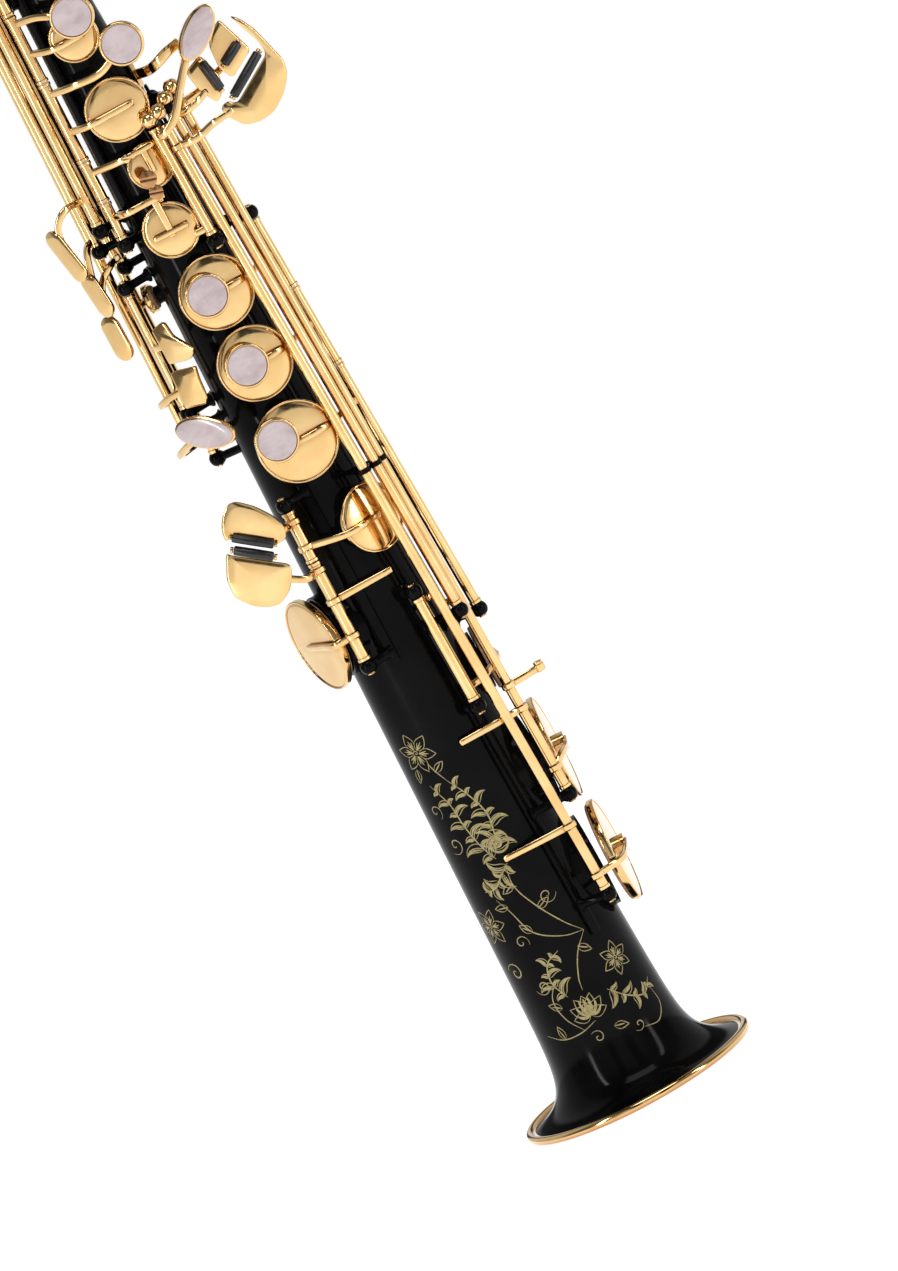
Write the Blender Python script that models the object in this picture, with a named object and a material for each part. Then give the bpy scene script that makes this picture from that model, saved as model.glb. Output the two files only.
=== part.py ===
"""Soprano saxophone with a straight body, standing on its bell.

Frame: +Z runs up the bore from the bell to the mouthpiece. The origin is the centre of the bell mouth, on the
surface that the instrument stands on. -Y is the front, where the fingers are, and +X is the left hand's side.
Angles around the body start at the front and grow towards +X. Sizes are millimetres until a mesh is made.
Every key is drawn closed on its tone hole, then turned open about its hinge where it stands open at rest.
"""

import math

import bmesh
import bpy
from mathutils import Matrix, Vector

MM = 0.001
GAP = 0.3
UP = Vector((0, 0, 1))

# Driving dimensions of the body
FOOT_RADIUS = 25.8
TAPER = 0.0292
FLARE_RADIUS = 18.0
FLARE_LENGTH = 4.9
FLARE_POWER = 0.85
WALL = 1.1
RIM_CENTRE = 43.9
RIM_RADIUS = 1.6
BELL_TOP = 60.0
BODY_TOP = 590.0
NECK_TOP = 660.0
CHIMNEY_HEIGHT = 2.0
CHIMNEY_WALL = 1.2
CUP_OVERHANG = 2.2

# Driving dimensions of the keywork
PAD_DEPTH = 1.8
CUP_DEPTH = 2.2
CUP_TOP = GAP + PAD_DEPTH + GAP + CUP_DEPTH
SLEEVE = 1.8
ARM_WIDTH = 2.6
ARM_DEPTH = 1.7
TOUCH_DEPTH = 1.8
BEZEL_RADIUS = 8.2
SMALL_BEZEL_RADIUS = 4.6
LEVER_TURN = math.radians(7)
HEAD_RADIUS = 2.7
HEAD_LENGTH = 4.0
STEM_RADIUS = 1.6
RIB_WIDTH = 4.0
RIB_DEPTH = 1.3

COLOURS = {
    "gold_lacquer": ((0.83, 0.58, 0.27), 0.16, 1.0),
    "black_lacquer": ((0.012, 0.012, 0.014), 0.12, 0.0),
    "pearl": ((0.80, 0.74, 0.75), 0.2, 0.0),
    "pad_leather": ((0.42, 0.24, 0.13), 0.6, 0.0),
    "black_roller": ((0.02, 0.02, 0.02), 0.35, 0.0),
    "cork": ((0.62, 0.42, 0.24), 0.85, 0.0),
    "hard_rubber": ((0.015, 0.015, 0.015), 0.25, 0.0),
    "cane": ((0.80, 0.66, 0.38), 0.55, 0.0),
}

# Tone holes: height of the centre, angle around the body, diameter of the key cup over it
CUPS = {
    "low_b_flat": (80.3, 92, 40.5),
    "low_b": (123.5, 95, 40.5),
    "low_c_sharp": (165.0, 92, 27.0),
    "low_c": (199.6, -75, 36.5),
    "e_flat": (233.7, 31, 26.0),
    "d": (271.8, 0, 30.5),
    "e": (304.0, 0, 28.0),
    "f": (333.3, 0, 28.0),
    "f_sharp": (360.8, -3, 21.0),
    "f_sharp_trill": (338.0, -104, 11.0),
    "g_sharp": (384.5, 8, 17.5),
    "g": (408.3, 8, 24.0),
    "a": (438.6, 4, 18.4),
    "bis": (463.5, 3, 16.5),
    "b": (484.0, 0, 15.5),
    "side_b_flat": (459.0, -85, 13.5),
    "side_c": (505.0, -58, 13.0),
    "palm_d": (506.0, 50, 13.0),
    "palm_e_flat": (524.0, 72, 12.5),
    "high_e": (531.0, -33, 12.0),
    "palm_f": (542.0, 36, 11.5),
    "high_f_sharp": (552.0, -138, 11.0),
    "high_g": (571.0, -150, 10.0),
    "lower_octave": (520.0, 180, 8.0),
    "upper_octave": (566.0, 160, 7.5),
}


def body_radius(z):
    """Outer radius of the conical body tube, without the bell's flare."""
    return FOOT_RADIUS - TAPER * z


def bell_radius(z):
    """Outer radius of the bell, whose flare dies away over the first few centimetres."""
    return body_radius(z) + FLARE_RADIUS * math.exp(-((max(z - RIM_RADIUS, 0) / FLARE_LENGTH) ** FLARE_POWER))


def outward(angle):
    return Vector((math.sin(math.radians(angle)), -math.cos(math.radians(angle)), 0))


def around(z, angle, radius):
    """The point at this height, angle and distance from the bore's axis."""
    return outward(angle) * radius + UP * z


def facing(origin, out, up=UP):
    """A placement whose Z is out and whose Y is as near to up as it can be."""
    out = out.normalized()
    right = up.cross(out).normalized()
    rows = Matrix((right, out.cross(right), out)).transposed().to_4x4()
    return Matrix.Translation(origin) @ rows


def seat_radius(z):
    """Distance from the bore's axis to the top face of a tone-hole chimney."""
    return body_radius(z) + CHIMNEY_HEIGHT


def hinge_line(low, high, angle, height):
    """A hinge at a constant angle and height above the body, as its two end points."""
    return (
        around(low, angle, body_radius(low) + height),
        around(high, angle, body_radius(high) + height),
    )


def on(line, z):
    low, high = line
    return low.lerp(high, (z - low.z) / (high.z - low.z))


# Hinge lines of the keywork
RIGHT_STACK = hinge_line(183, 350, 77, 11.2)
LEFT_STACK = hinge_line(365, 495, -50, 9.0)
PINKY = hinge_line(180, 255, -29, 9.0)
LOW_B_FLAT_LINE = (Vector((22.6, -27.5, 78)), Vector((14.4, -27.5, 397)))
LOW_C_SHARP_LINE = (Vector((24.4, -24.5, 192)), Vector((18.8, -24.5, 399)))
LOW_B_LINE = (Vector((27.6, -20.0, 110)), Vector((22.8, -20.0, 404)))
C_SHARP_CUP_LINE = (Vector((13.6, -26.4, 160)), Vector((13.0, -25.2, 200)))
G_SHARP_LINE = (Vector((10.6, -27.6, 350)), Vector((10.0, -27.6, 401)))
HIGH_E_LINE = hinge_line(365, 550, -60.5, 13.0)
SIDE_C_LINE = hinge_line(350, 520, -85, 13.0)
SIDE_B_FLAT_LINE = hinge_line(345, 480, -112, 9.0)
HIGH_F_SHARP_LINE = hinge_line(285, 570, -101, 15.0)
HIGH_G_LINE = hinge_line(270, 585, -124, 14.0)
TRILL_LINE = hinge_line(290, 350, -80, 11.0)
FRONT_F_LINE = hinge_line(495, 515, 14, 10.0)
PALM_F_LINE = hinge_line(490, 556, 66, 8.5)
PALM_D_LINE = hinge_line(455, 525, 85, 8.5)
PALM_E_FLAT_LINE = hinge_line(470, 545, 106, 8.5)
OCTAVE_LINE = hinge_line(435, 535, 155, 7.0)
UPPER_OCTAVE_LINE = hinge_line(540, 585, 135, 7.0)


def clear_scene():
    for obj in list(bpy.data.objects):
        bpy.data.objects.remove(obj)


def material(name):
    found = bpy.data.materials.get(name)
    if found:
        return found
    made = bpy.data.materials.new(name)
    made.use_nodes = True
    colour, roughness, metallic = COLOURS[name]
    shader = made.node_tree.nodes["Principled BSDF"]
    shader.inputs["Base Color"].default_value = (*colour, 1)
    shader.inputs["Roughness"].default_value = roughness
    shader.inputs["Metallic"].default_value = metallic
    return made


# Shapes, as closed bmeshes in millimetres


def turned(profile, sides, place=None, closed=False):
    """Spins (radius, height) points about the placement's Z. Open profiles get flat caps, closed ones make a ring."""
    shape = bmesh.new()
    points = [shape.verts.new((radius, 0, height)) for radius, height in profile]
    ends = points[1:] + points[:1] if closed else points[1:]
    edges = [shape.edges.new(pair) for pair in zip(points, ends)]
    bmesh.ops.spin(
        shape, geom=points + edges, cent=(0, 0, 0), axis=(0, 0, 1), angle=math.tau, steps=sides
    )
    bmesh.ops.remove_doubles(shape, verts=shape.verts, dist=1e-4)
    bmesh.ops.holes_fill(shape, edges=[e for e in shape.edges if e.is_boundary])
    return placed(shape, place or Matrix.Identity(4))


def placed(shape, place):
    """Moves a shape to its place and turns all its faces outwards."""
    shape.transform(place)
    bmesh.ops.recalc_face_normals(shape, faces=shape.faces)
    if shape.calc_volume(signed=True) < 0:
        bmesh.ops.reverse_faces(shape, faces=shape.faces)
    return shape


def cylinder(start, end, radius, sides=8):
    shape = bmesh.new()
    along = end - start
    turn = along.to_track_quat("Z", "Y").to_matrix().to_4x4()
    bmesh.ops.create_cone(
        shape,
        cap_ends=True,
        segments=sides,
        radius1=radius,
        radius2=radius,
        depth=along.length,
        matrix=Matrix.Translation((start + end) / 2) @ turn,
    )
    return shape


def bar(path, width=ARM_WIDTH, depth=ARM_DEPTH, side=UP):
    """Sweeps a rectangle along a path: its width lies along side, its depth across both side and path."""
    shape = bmesh.new()
    rings = []
    for i, point in enumerate(path):
        along = path[min(i + 1, len(path) - 1)] - path[max(i - 1, 0)]
        across = along.cross(side).normalized() * depth / 2
        wide = across.cross(along).normalized() * width / 2
        corners = (across + wide, across - wide, -across - wide, -across + wide)
        rings.append([shape.verts.new(point + corner) for corner in corners])
    for low, high in zip(rings, rings[1:]):
        for i in range(4):
            shape.faces.new((low[i], low[(i + 1) % 4], high[(i + 1) % 4], high[i]))
    shape.faces.new(rings[0])
    shape.faces.new(rings[-1])
    return placed(shape, Matrix.Identity(4))


def plate(outline, place, depth=TOUCH_DEPTH):
    """Extrudes a flat outline of (x, y) points along the placement's Z."""
    shape = bmesh.new()
    face = shape.faces.new([shape.verts.new((x, y, 0)) for x, y in outline])
    made = bmesh.ops.extrude_face_region(shape, geom=[face])["geom"]
    bmesh.ops.translate(
        shape, vec=(0, 0, depth), verts=[v for v in made if isinstance(v, bmesh.types.BMVert)]
    )
    return placed(shape, place)


def rounded(length, width, steps=5):
    """Outline of a strip with round ends, along Y."""
    radius = width / 2
    offset = length / 2 - radius
    points = []
    for end, start in ((1, 0.0), (-1, math.pi)):
        for i in range(steps + 1):
            turn = start + math.pi * i / steps
            points.append((radius * math.cos(turn), end * offset + radius * math.sin(turn)))
    return points


def oval(length, width, steps=20):
    """Outline of an ellipse, its length along Y."""
    turns = (math.tau * i / steps for i in range(steps))
    return [(width / 2 * math.cos(turn), length / 2 * math.sin(turn)) for turn in turns]


# Blender objects


def mesh_object(name, shape, material_name, pivot=None):
    """One object from one bmesh, with its origin on pivot."""
    pivot = pivot or Vector((0, 0, 0))
    shape.transform(Matrix.Scale(MM, 4) @ Matrix.Translation(-pivot))
    mesh = bpy.data.meshes.new(name)
    shape.to_mesh(mesh)
    shape.free()
    mesh.materials.append(material(material_name))
    mesh.shade_smooth()
    mesh.set_sharp_from_angle(angle=math.radians(35))
    obj = bpy.data.objects.new(name, mesh)
    obj.location = pivot * MM
    bpy.context.scene.collection.objects.link(obj)
    return obj


def volume(mesh):
    """Volume of a closed mesh, or zero if it is not closed."""
    shape = bmesh.new()
    shape.from_mesh(mesh)
    closed = len(shape.faces) > 0 and all(edge.is_manifold for edge in shape.edges)
    result = shape.calc_volume(signed=True) if closed else 0.0
    shape.free()
    return result


def combine(base, shapes, operation):
    """Applies one Boolean for each shape to the base object, with a second solver where the exact one fails."""
    for shape in shapes:
        helper = mesh_object("helper", shape, "gold_lacquer", base.location / MM)
        before = volume(base.data)
        least = max(before, volume(helper.data)) if operation == "UNION" else before * 0.5
        helper.hide_render = True
        helper.display_type = "WIRE"
        modifier = base.modifiers.new("combine", "BOOLEAN")
        modifier.operation = operation
        modifier.object = helper
        for solver in ("EXACT", "MANIFOLD"):
            modifier.solver = solver
            graph = bpy.context.evaluated_depsgraph_get()
            result = bpy.data.meshes.new_from_object(base.evaluated_get(graph))
            if volume(result) > least * 0.999:
                break
        base.modifiers.remove(modifier)
        base.data = result
        bpy.data.objects.remove(helper)
    return base


def fused(name, shapes, material_name, pivot=None):
    """One solid from several overlapping shapes, as brazed or soldered metal is."""
    first, *others = shapes
    obj = mesh_object(name, first, material_name, pivot)
    combine(obj, others, "UNION")
    obj.data.shade_smooth()
    obj.data.set_sharp_from_angle(angle=math.radians(35))
    return obj


# Parts of a key


def sleeve(line, low, high, radius=SLEEVE):
    return cylinder(on(line, low), on(line, high), radius)


def cup(name, with_pad_node=False):
    """The cup over a tone hole, closed. Without a pad node it reaches down to the chimney, pad included."""
    z, angle, diameter = CUPS[name]
    low = GAP + (PAD_DEPTH + GAP if with_pad_node else 0)
    radius = diameter / 2
    profile = ((radius, low), (radius, CUP_TOP - 1.2), (radius - 1.5, CUP_TOP))
    place = facing(around(z, angle, seat_radius(z)), outward(angle))
    return turned(profile, 20 if diameter > 20 else 12, place)


def pad(name):
    z, angle, diameter = CUPS[name]
    radius = diameter / 2 - 0.9
    profile = ((radius - 0.4, GAP), (radius, GAP + 0.5), (radius, GAP + PAD_DEPTH))
    return turned(profile, 20, facing(around(z, angle, seat_radius(z)), outward(angle)))


def cup_point(name, aside=0.0, above=0.0, up=0.0):
    """A point over the cup's top: aside along the tangent, above the top face, and up the body."""
    z, angle, _ = CUPS[name]
    tangent = UP.cross(outward(angle))
    return around(z + up, angle, seat_radius(z) + CUP_TOP + above) + tangent * aside


def cup_arm(line, name, z_from, waypoints=(), reach=0.0, over=ARM_DEPTH / 2 - 0.3):
    """An arm from the hinge, past the waypoints, onto the cup's top face."""
    start = on(line, z_from)
    return bar([start, *waypoints, cup_point(name, reach, over)])


def bezel(centre, out=Vector((0, -1, 0)), radius=BEZEL_RADIUS):
    """The round holder of a finger pearl, pearl included."""
    return turned(((radius, 0), (radius, 1.8), (radius - 1.4, 2.6)), 12, facing(centre, out))


def opening_turn(line, name, lift):
    """The rotation about the hinge, in radians, that lifts this cup's centre by lift."""
    z, angle, _ = CUPS[name]
    axis = (line[1] - line[0]).normalized()
    lever = axis.cross(around(z, angle, seat_radius(z)) - on(line, z)).dot(outward(angle))
    return lift / lever


def turned_open(shapes, line, turn):
    """The same shapes after the key has turned about its hinge."""
    pivot = Matrix.Translation(line[0])
    spin = pivot @ Matrix.Rotation(turn, 4, line[1] - line[0]) @ pivot.inverted()
    for shape in shapes:
        shape.transform(spin)
    return shapes


def key(name, line, low, shapes, turn, open_at_rest=False, at_rest=(), extras=()):
    """A key on its hinge, one brazed solid. turn opens it; at_rest shapes are drawn where they stand at rest.

    Extras are (name, shape, material) pieces that ride on the key, drawn closed like its shapes.
    """
    if open_at_rest:
        turned_open([*shapes, *(shape for _, shape, _ in extras)], line, turn)
    pivot = on(line, low)
    obj = fused(name, [*shapes, *at_rest], "gold_lacquer", pivot)
    obj["hinge_axis"] = tuple((line[1] - line[0]).normalized())
    obj["hinge_turn"] = -turn if open_at_rest else turn
    for extra, shape, material_name in extras:
        rider = mesh_object(extra, shape, material_name, pivot)
        rider.parent = obj
        rider.matrix_parent_inverse = Matrix.Translation(pivot * MM).inverted()
    return obj


def roller(name, carrier, start, end, radius=1.8):
    """A roller on the edge of a touch, free to spin on its own pin."""
    pivot = (start + end) / 2
    obj = mesh_object(name, cylinder(start, end, radius, 12), "black_roller", pivot)
    obj["hinge_axis"] = tuple((end - start).normalized())
    obj["hinge_turn"] = math.tau
    obj.parent = carrier
    obj.matrix_parent_inverse = Matrix.Translation(carrier.location).inverted()
    return obj


# Parts of a rib


def tangent(angle):
    return UP.cross(outward(angle))


def rib(angle, low, high):
    """A flat strap soldered along the body, which carries the posts."""
    lift = GAP + RIB_DEPTH / 2
    path = [around(z, angle, body_radius(z) + lift) for z in (low, high)]
    return bar(path, RIB_WIDTH, RIB_DEPTH, tangent(angle))


def post(line, z, angle, strap=None, radius=HEAD_RADIUS):
    """A post's head on the hinge line at this height, and its stem down to the rib at this angle.

    With strap, a band around the body leads from the rib to that angle, and the stem stands there.
    """
    along = (line[1] - line[0]).normalized() * HEAD_LENGTH / 2
    head = on(line, z)
    shapes = [cylinder(head - along, head + along, radius)]
    if strap is not None:
        steps = max(2, math.ceil(abs(strap - angle) / 15))
        lift = body_radius(z) + GAP + RIB_DEPTH / 2
        path = [around(z, angle + (strap - angle) * i / steps, lift) for i in range(steps + 1)]
        shapes.append(bar(path, RIB_WIDTH, RIB_DEPTH))
        angle = strap
    ray = (head - around(z, angle, body_radius(z))).normalized()
    lean = math.sqrt(max(0.0, 1 - ray.dot(outward(angle)) ** 2))
    root = around(z, angle, body_radius(z) + GAP + 0.3 + STEM_RADIUS * lean)
    shapes.append(cylinder(root, head, STEM_RADIUS, 8))
    return shapes


# The body


def bore_radius(z):
    return bell_radius(z) - WALL


def make_bell():
    """The flared lower end of the tube, up to the joint ring."""
    heights = (1.9, 2.6, 4.0, 6.5, 10.5, 18.0, 34.0, BELL_TOP)
    outer = [(bell_radius(z), z) for z in heights]
    inner = [(bore_radius(z), z) for z in reversed(heights)]
    return mesh_object("bell", turned(outer + inner, 28, closed=True), "black_lacquer")


def make_bell_rim():
    """The rolled edge of the bell, a gold ring with a flat underside that the instrument stands on."""
    profile = []
    for i in range(8):
        turn = math.tau * (i + 0.5) / 8
        profile.append((RIM_CENTRE + RIM_RADIUS * math.cos(turn), RIM_RADIUS + RIM_RADIUS * math.sin(turn)))
    flat = min(z for _, z in profile)
    profile = [(radius, z - flat) for radius, z in profile]
    return mesh_object("bell_rim", turned(profile, 28, closed=True), "gold_lacquer")


def make_body_tube():
    """The conical tube with its drawn tone-hole chimneys, open at both ends and at every tone hole."""
    low = BELL_TOP + GAP
    outer = [(body_radius(z), z) for z in (low, BODY_TOP)]
    inner = [(body_radius(z) - WALL, z) for z in (low - 1, BODY_TOP + 1)]
    tube = mesh_object("body_tube", turned(outer, 26), "black_lacquer")
    walls = []
    holes = []
    for z, angle, diameter in CUPS.values():
        radius = diameter / 2 - CUP_OVERHANG
        inside = around(z, angle, 3)
        beyond = around(z, angle, seat_radius(z) + 2)
        sides = 14 if diameter > 20 else 8
        walls.append(cylinder(inside, around(z, angle, seat_radius(z)), radius, sides))
        holes.append(cylinder(inside, beyond, radius - CHIMNEY_WALL, sides))
    combine(tube, walls, "UNION")
    combine(tube, [turned(inner, 26), *holes], "DIFFERENCE")
    tube.data.shade_smooth()
    tube.data.set_sharp_from_angle(angle=math.radians(35))
    return tube


def make_top():
    """Receiver, neck, cork and mouthpiece, in line with the body."""
    low = BODY_TOP + GAP
    radius = body_radius(BODY_TOP)
    bore = radius - WALL
    collar = ((radius + 0.2, low), (radius + 3.2, low), (radius + 3.2, low + 4), (radius + 2.4, low + 5),
              (radius + 2.4, low + 15), (radius + 3.2, low + 16), (radius + 3.2, low + 20), (radius + 0.2, low + 20))
    receiver = mesh_object("neck_receiver", turned(collar, 24, closed=True), "gold_lacquer")
    lug = cylinder(Vector((-5, radius + 5.2, low + 10)), Vector((5, radius + 5.2, low + 10)), 3.4)
    combine(receiver, [lug], "UNION")
    screw_axis = Vector((0, radius + 5.4, low + 10))
    slot = cylinder(screw_axis + Vector((-8, 0, 0)), screw_axis + Vector((8, 0, 0)), 1.6)
    combine(receiver, [slot], "DIFFERENCE")
    receiver.data.shade_smooth()
    receiver.data.set_sharp_from_angle(angle=math.radians(35))
    knob = cylinder(screw_axis + Vector((5.5, 0, 0)), screw_axis + Vector((12, 0, 0)), 4.0)
    shank = cylinder(screw_axis + Vector((-6.5, 0, 0)), screw_axis + Vector((8, 0, 0)), 1.3)
    fused("neck_screw", [knob, shank], "gold_lacquer", screw_axis)

    base = low + 0.3
    neck_profile = ((radius - 0.1, base), (radius - 0.1, base + 26), (radius + 1.2, base + 26),
                    (radius + 1.2, base + 29), (7.2, base + 31), (5.6, NECK_TOP), (4.5, NECK_TOP), (bore - 0.4, base))
    mesh_object("neck", turned(neck_profile, 24, closed=True), "gold_lacquer")
    cork_low = NECK_TOP - 32
    slope = (7.2 - 5.6) / (NECK_TOP - base - 31)
    inside = 5.6 + slope * 32 + GAP
    cork = ((7.7, cork_low), (7.4, NECK_TOP), (5.6 + GAP, NECK_TOP), (inside, cork_low))
    mesh_object("neck_cork", turned(cork, 24, closed=True), "cork")


def make_mouthpiece():
    """Mouthpiece with its beak at the back and its flat table for the reed at the front."""
    low = NECK_TOP - 17
    top = 712.0
    shank = 12.0
    body = ((shank, low), (shank, low + 4), (11.3, low + 6), (10.9, top - 36), (8.2, top), (2.6, top),
            (3.4, top - 20), (4.4, NECK_TOP + 2), (7.7 + GAP, NECK_TOP + 1), (7.7 + GAP, low))
    obj = mesh_object("mouthpiece", turned(body, 24, closed=True), "hard_rubber")
    beak = bmesh.new()
    bmesh.ops.create_cube(beak, size=1.0)
    beak.transform(Matrix.Diagonal((30, 16, 60, 1)))
    slope = math.radians(16)
    beak.transform(Matrix.Rotation(slope, 4, "X"))
    beak.transform(Matrix.Translation((0, 9.6, top)))
    table = bmesh.new()
    bmesh.ops.create_cube(table, size=1.0)
    table.transform(Matrix.Diagonal((30, 10, 62, 1)))
    table.transform(Matrix.Translation((0, -13.2, top - 31)))
    combine(obj, [beak, table], "DIFFERENCE")
    obj.data.shade_smooth()
    obj.data.set_sharp_from_angle(angle=math.radians(35))

    reed = [(-5.2, top - 60), (5.2, top - 60), (5.9, top - 4), (3.6, top - 0.6), (-3.6, top - 0.6), (-5.9, top - 4)]
    place = Matrix.Translation((0, -8.2 - GAP, 0)) @ Matrix.Rotation(math.radians(90), 4, "X")
    mesh_object("reed", plate(reed, place, 1.4), "cane")

    band_low = low + 10
    band_high = band_low + 19
    band = ((12.6, band_low), (12.6, band_high), (11.6, band_high), (11.6, band_low))
    ligature = mesh_object("ligature", turned(band, 24, closed=True), "gold_lacquer")
    lugs = [cylinder(Vector((-6, -13.6, z)), Vector((6, -13.6, z)), 2.2, 8) for z in (band_low + 5, band_high - 5)]
    combine(ligature, lugs, "UNION")
    ligature.data.shade_smooth()
    ligature.data.set_sharp_from_angle(angle=math.radians(35))
    for name, z in (("ligature_screw_lower", band_low + 5), ("ligature_screw_upper", band_high - 5)):
        head = cylinder(Vector((6 + GAP, -13.6, z)), Vector((13, -13.6, z)), 2.5, 10)
        mesh_object(name, head, "gold_lacquer", Vector((6 + GAP, -13.6, z)))


def make_back_fittings():
    """Thumb hook, thumb rest and strap ring, each on its own foot plate behind the body."""
    def foot_plate(z, length):
        path = [around(z + end * length / 2, 180, body_radius(z) + 0.9 + 0.7) for end in (-1, 1)]
        return bar(path, 9, 1.8, Vector((1, 0, 0)))

    hook_z = 330
    back = body_radius(hook_z) + 1.6
    hook = [Vector((0, back, hook_z)), Vector((2, back + 12, hook_z)), Vector((4, back + 17, hook_z - 3)),
            Vector((8, back + 22, hook_z - 11)), Vector((10, back + 23, hook_z - 18))]
    fused("thumb_hook", [foot_plate(hook_z, 24), bar(hook, 9, 2.4, Vector((1, 0, 0.2)))], "gold_lacquer")

    rest_z = 448
    pad_place = facing(around(rest_z, 180, body_radius(rest_z) + 2.0), outward(180))
    rest = turned(((8.5, 0), (8.5, 3.0), (6.5, 4.2)), 20, pad_place)
    fused("thumb_rest", [foot_plate(rest_z, 20), rest], "hard_rubber")

    ring_z = 392
    ring_centre = around(ring_z, 180, body_radius(ring_z) + 8.2)
    turn = Matrix.Translation(ring_centre) @ Matrix.Rotation(math.radians(90), 4, "Y")
    ring_profile = [(5.2 + 1.3 * math.cos(math.tau * i / 6), 1.3 * math.sin(math.tau * i / 6)) for i in range(6)]
    ring = turned(ring_profile, 16, turn, closed=True)
    fused("strap_ring", [foot_plate(ring_z, 18), ring], "gold_lacquer")


# The keys of the lower half


def make_low_b_flat():
    line = LOW_B_FLAT_LINE
    turn = opening_turn(line, "low_b_flat", 4.0)
    arm = cup_arm(line, "low_b_flat", 80.3, [cup_point("low_b_flat", -21.5, 0.6)], 3)
    rod = sleeve(line, 74.6, 396.6)
    foot = bar([on(line, 101), Vector((10, -27, 101)), Vector((-4, -25.2, 101))])
    outline = ((34.8, 391.5), (35, 388), (39.5, 381.5), (45.5, 379.7), (51.5, 380.5), (57.5, 384.5), (62, 390),
               (63, 395), (59, 410), (56, 416), (53, 419), (58, 405), (58.5, 400), (40.8, 389.8), (38, 392.5))
    touch = plate(outline, table_place())
    link = bar([on(line, 387), Vector((22, -31.5, 387)), table_point(37, 388.5, -0.8)])
    pads = [("low_b_flat_pad", pad("low_b_flat"), "pad_leather")]
    rests = [rod, touch, link, foot]
    obj = key("low_b_flat_key", line, 100, [cup("low_b_flat", True), arm], turn, True, rests, pads)
    start, end = table_point(40.8, 392.8, -0.6), table_point(56.0, 401.8, -0.6)
    return [obj, roller("low_b_flat_roller", obj, start, end)]


def table_place():
    """The plane of the left-hand little-finger touches. Its local x and y are the part's own X and Z."""
    out = Vector((0.24, -1, 0)).normalized()
    skew = Matrix(((1, 0, 0, 0), (out.x / -out.y, 0, 1, -33.5), (0, 1, 0, 0), (0, 0, 0, 1)))
    return skew


def table_point(x, z, above):
    """A point over the table's plane; above counts towards the player's finger."""
    return table_place() @ Vector((x, z, -above))


def make_low_b():
    line = LOW_B_LINE
    turn = opening_turn(line, "low_b", 3.8)
    arm = cup_arm(line, "low_b", 121.0, [cup_point("low_b", -17.5, 0.9)], 3)
    rod = sleeve(line, 112.6, 400.6)
    outline = ((41.5, 413), (44, 416.5), (48, 419), (50.5, 419.5), (55.8, 405), (43.6, 398.4), (41.0, 404))
    touch = plate(outline, table_place())
    link = bar([on(line, 398.8), Vector((31, -18, 399.8)), Vector((40, -18, 402.5)), table_point(46.5, 405, -1.0)])
    foot = bar([on(line, 146), Vector((20, -23, 146)), Vector((2, -24.4, 146))])
    stop = Vector((40, -17.4, 155.5))
    stop_arm = bar([on(line, 155.5), Vector((34, -19, 155.5)), stop])
    stop_screw = cylinder(stop + UP * -2.4, stop + UP * 2.4, 2.0)
    rests = [rod, touch, link, foot, stop_arm, stop_screw]
    pads = [("low_b_pad", pad("low_b"), "pad_leather")]
    return [key("low_b_key", line, 130, [cup("low_b", True), arm], turn, True, rests, pads)]


def make_low_c_sharp():
    line = C_SHARP_CUP_LINE
    turn = opening_turn(line, "low_c_sharp", 2.2)
    ways = [Vector((20.5, -20.6, 163)), Vector((26.0, -13.6, 164.5)), cup_point("low_c_sharp", -9, 0.9)]
    arm = cup_arm(line, "low_c_sharp", 163, ways, 3)
    tail = bar([on(line, 198.5), Vector((17.5, -22.6, 198.5))])
    shapes = [sleeve(line, 158, 200.4, 2.2), cup("low_c_sharp", True), arm, tail]
    pads = [("low_c_sharp_pad", pad("low_c_sharp"), "pad_leather")]
    lower = key("low_c_sharp_key", line, 160, shapes, turn, extras=pads)

    line = LOW_C_SHARP_LINE
    outline = ((29.6, 409), (37.2, 412), (40.2, 401.5), (37.4, 395.2), (34.5, 393.6), (31, 401))
    touch = plate(outline, table_place())
    link = bar([on(line, 396.5), Vector((26, -29, 397.5)), table_point(33.5, 399.5, -0.8)])
    tip = bar([on(line, 193.6), Vector((19.2, -22.4, 193.6))])
    lever = key("low_c_sharp_lever", line, 210, [sleeve(line, 191.6, 398.4), touch, link, tip], LEVER_TURN)
    return [lower, lever]


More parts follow.
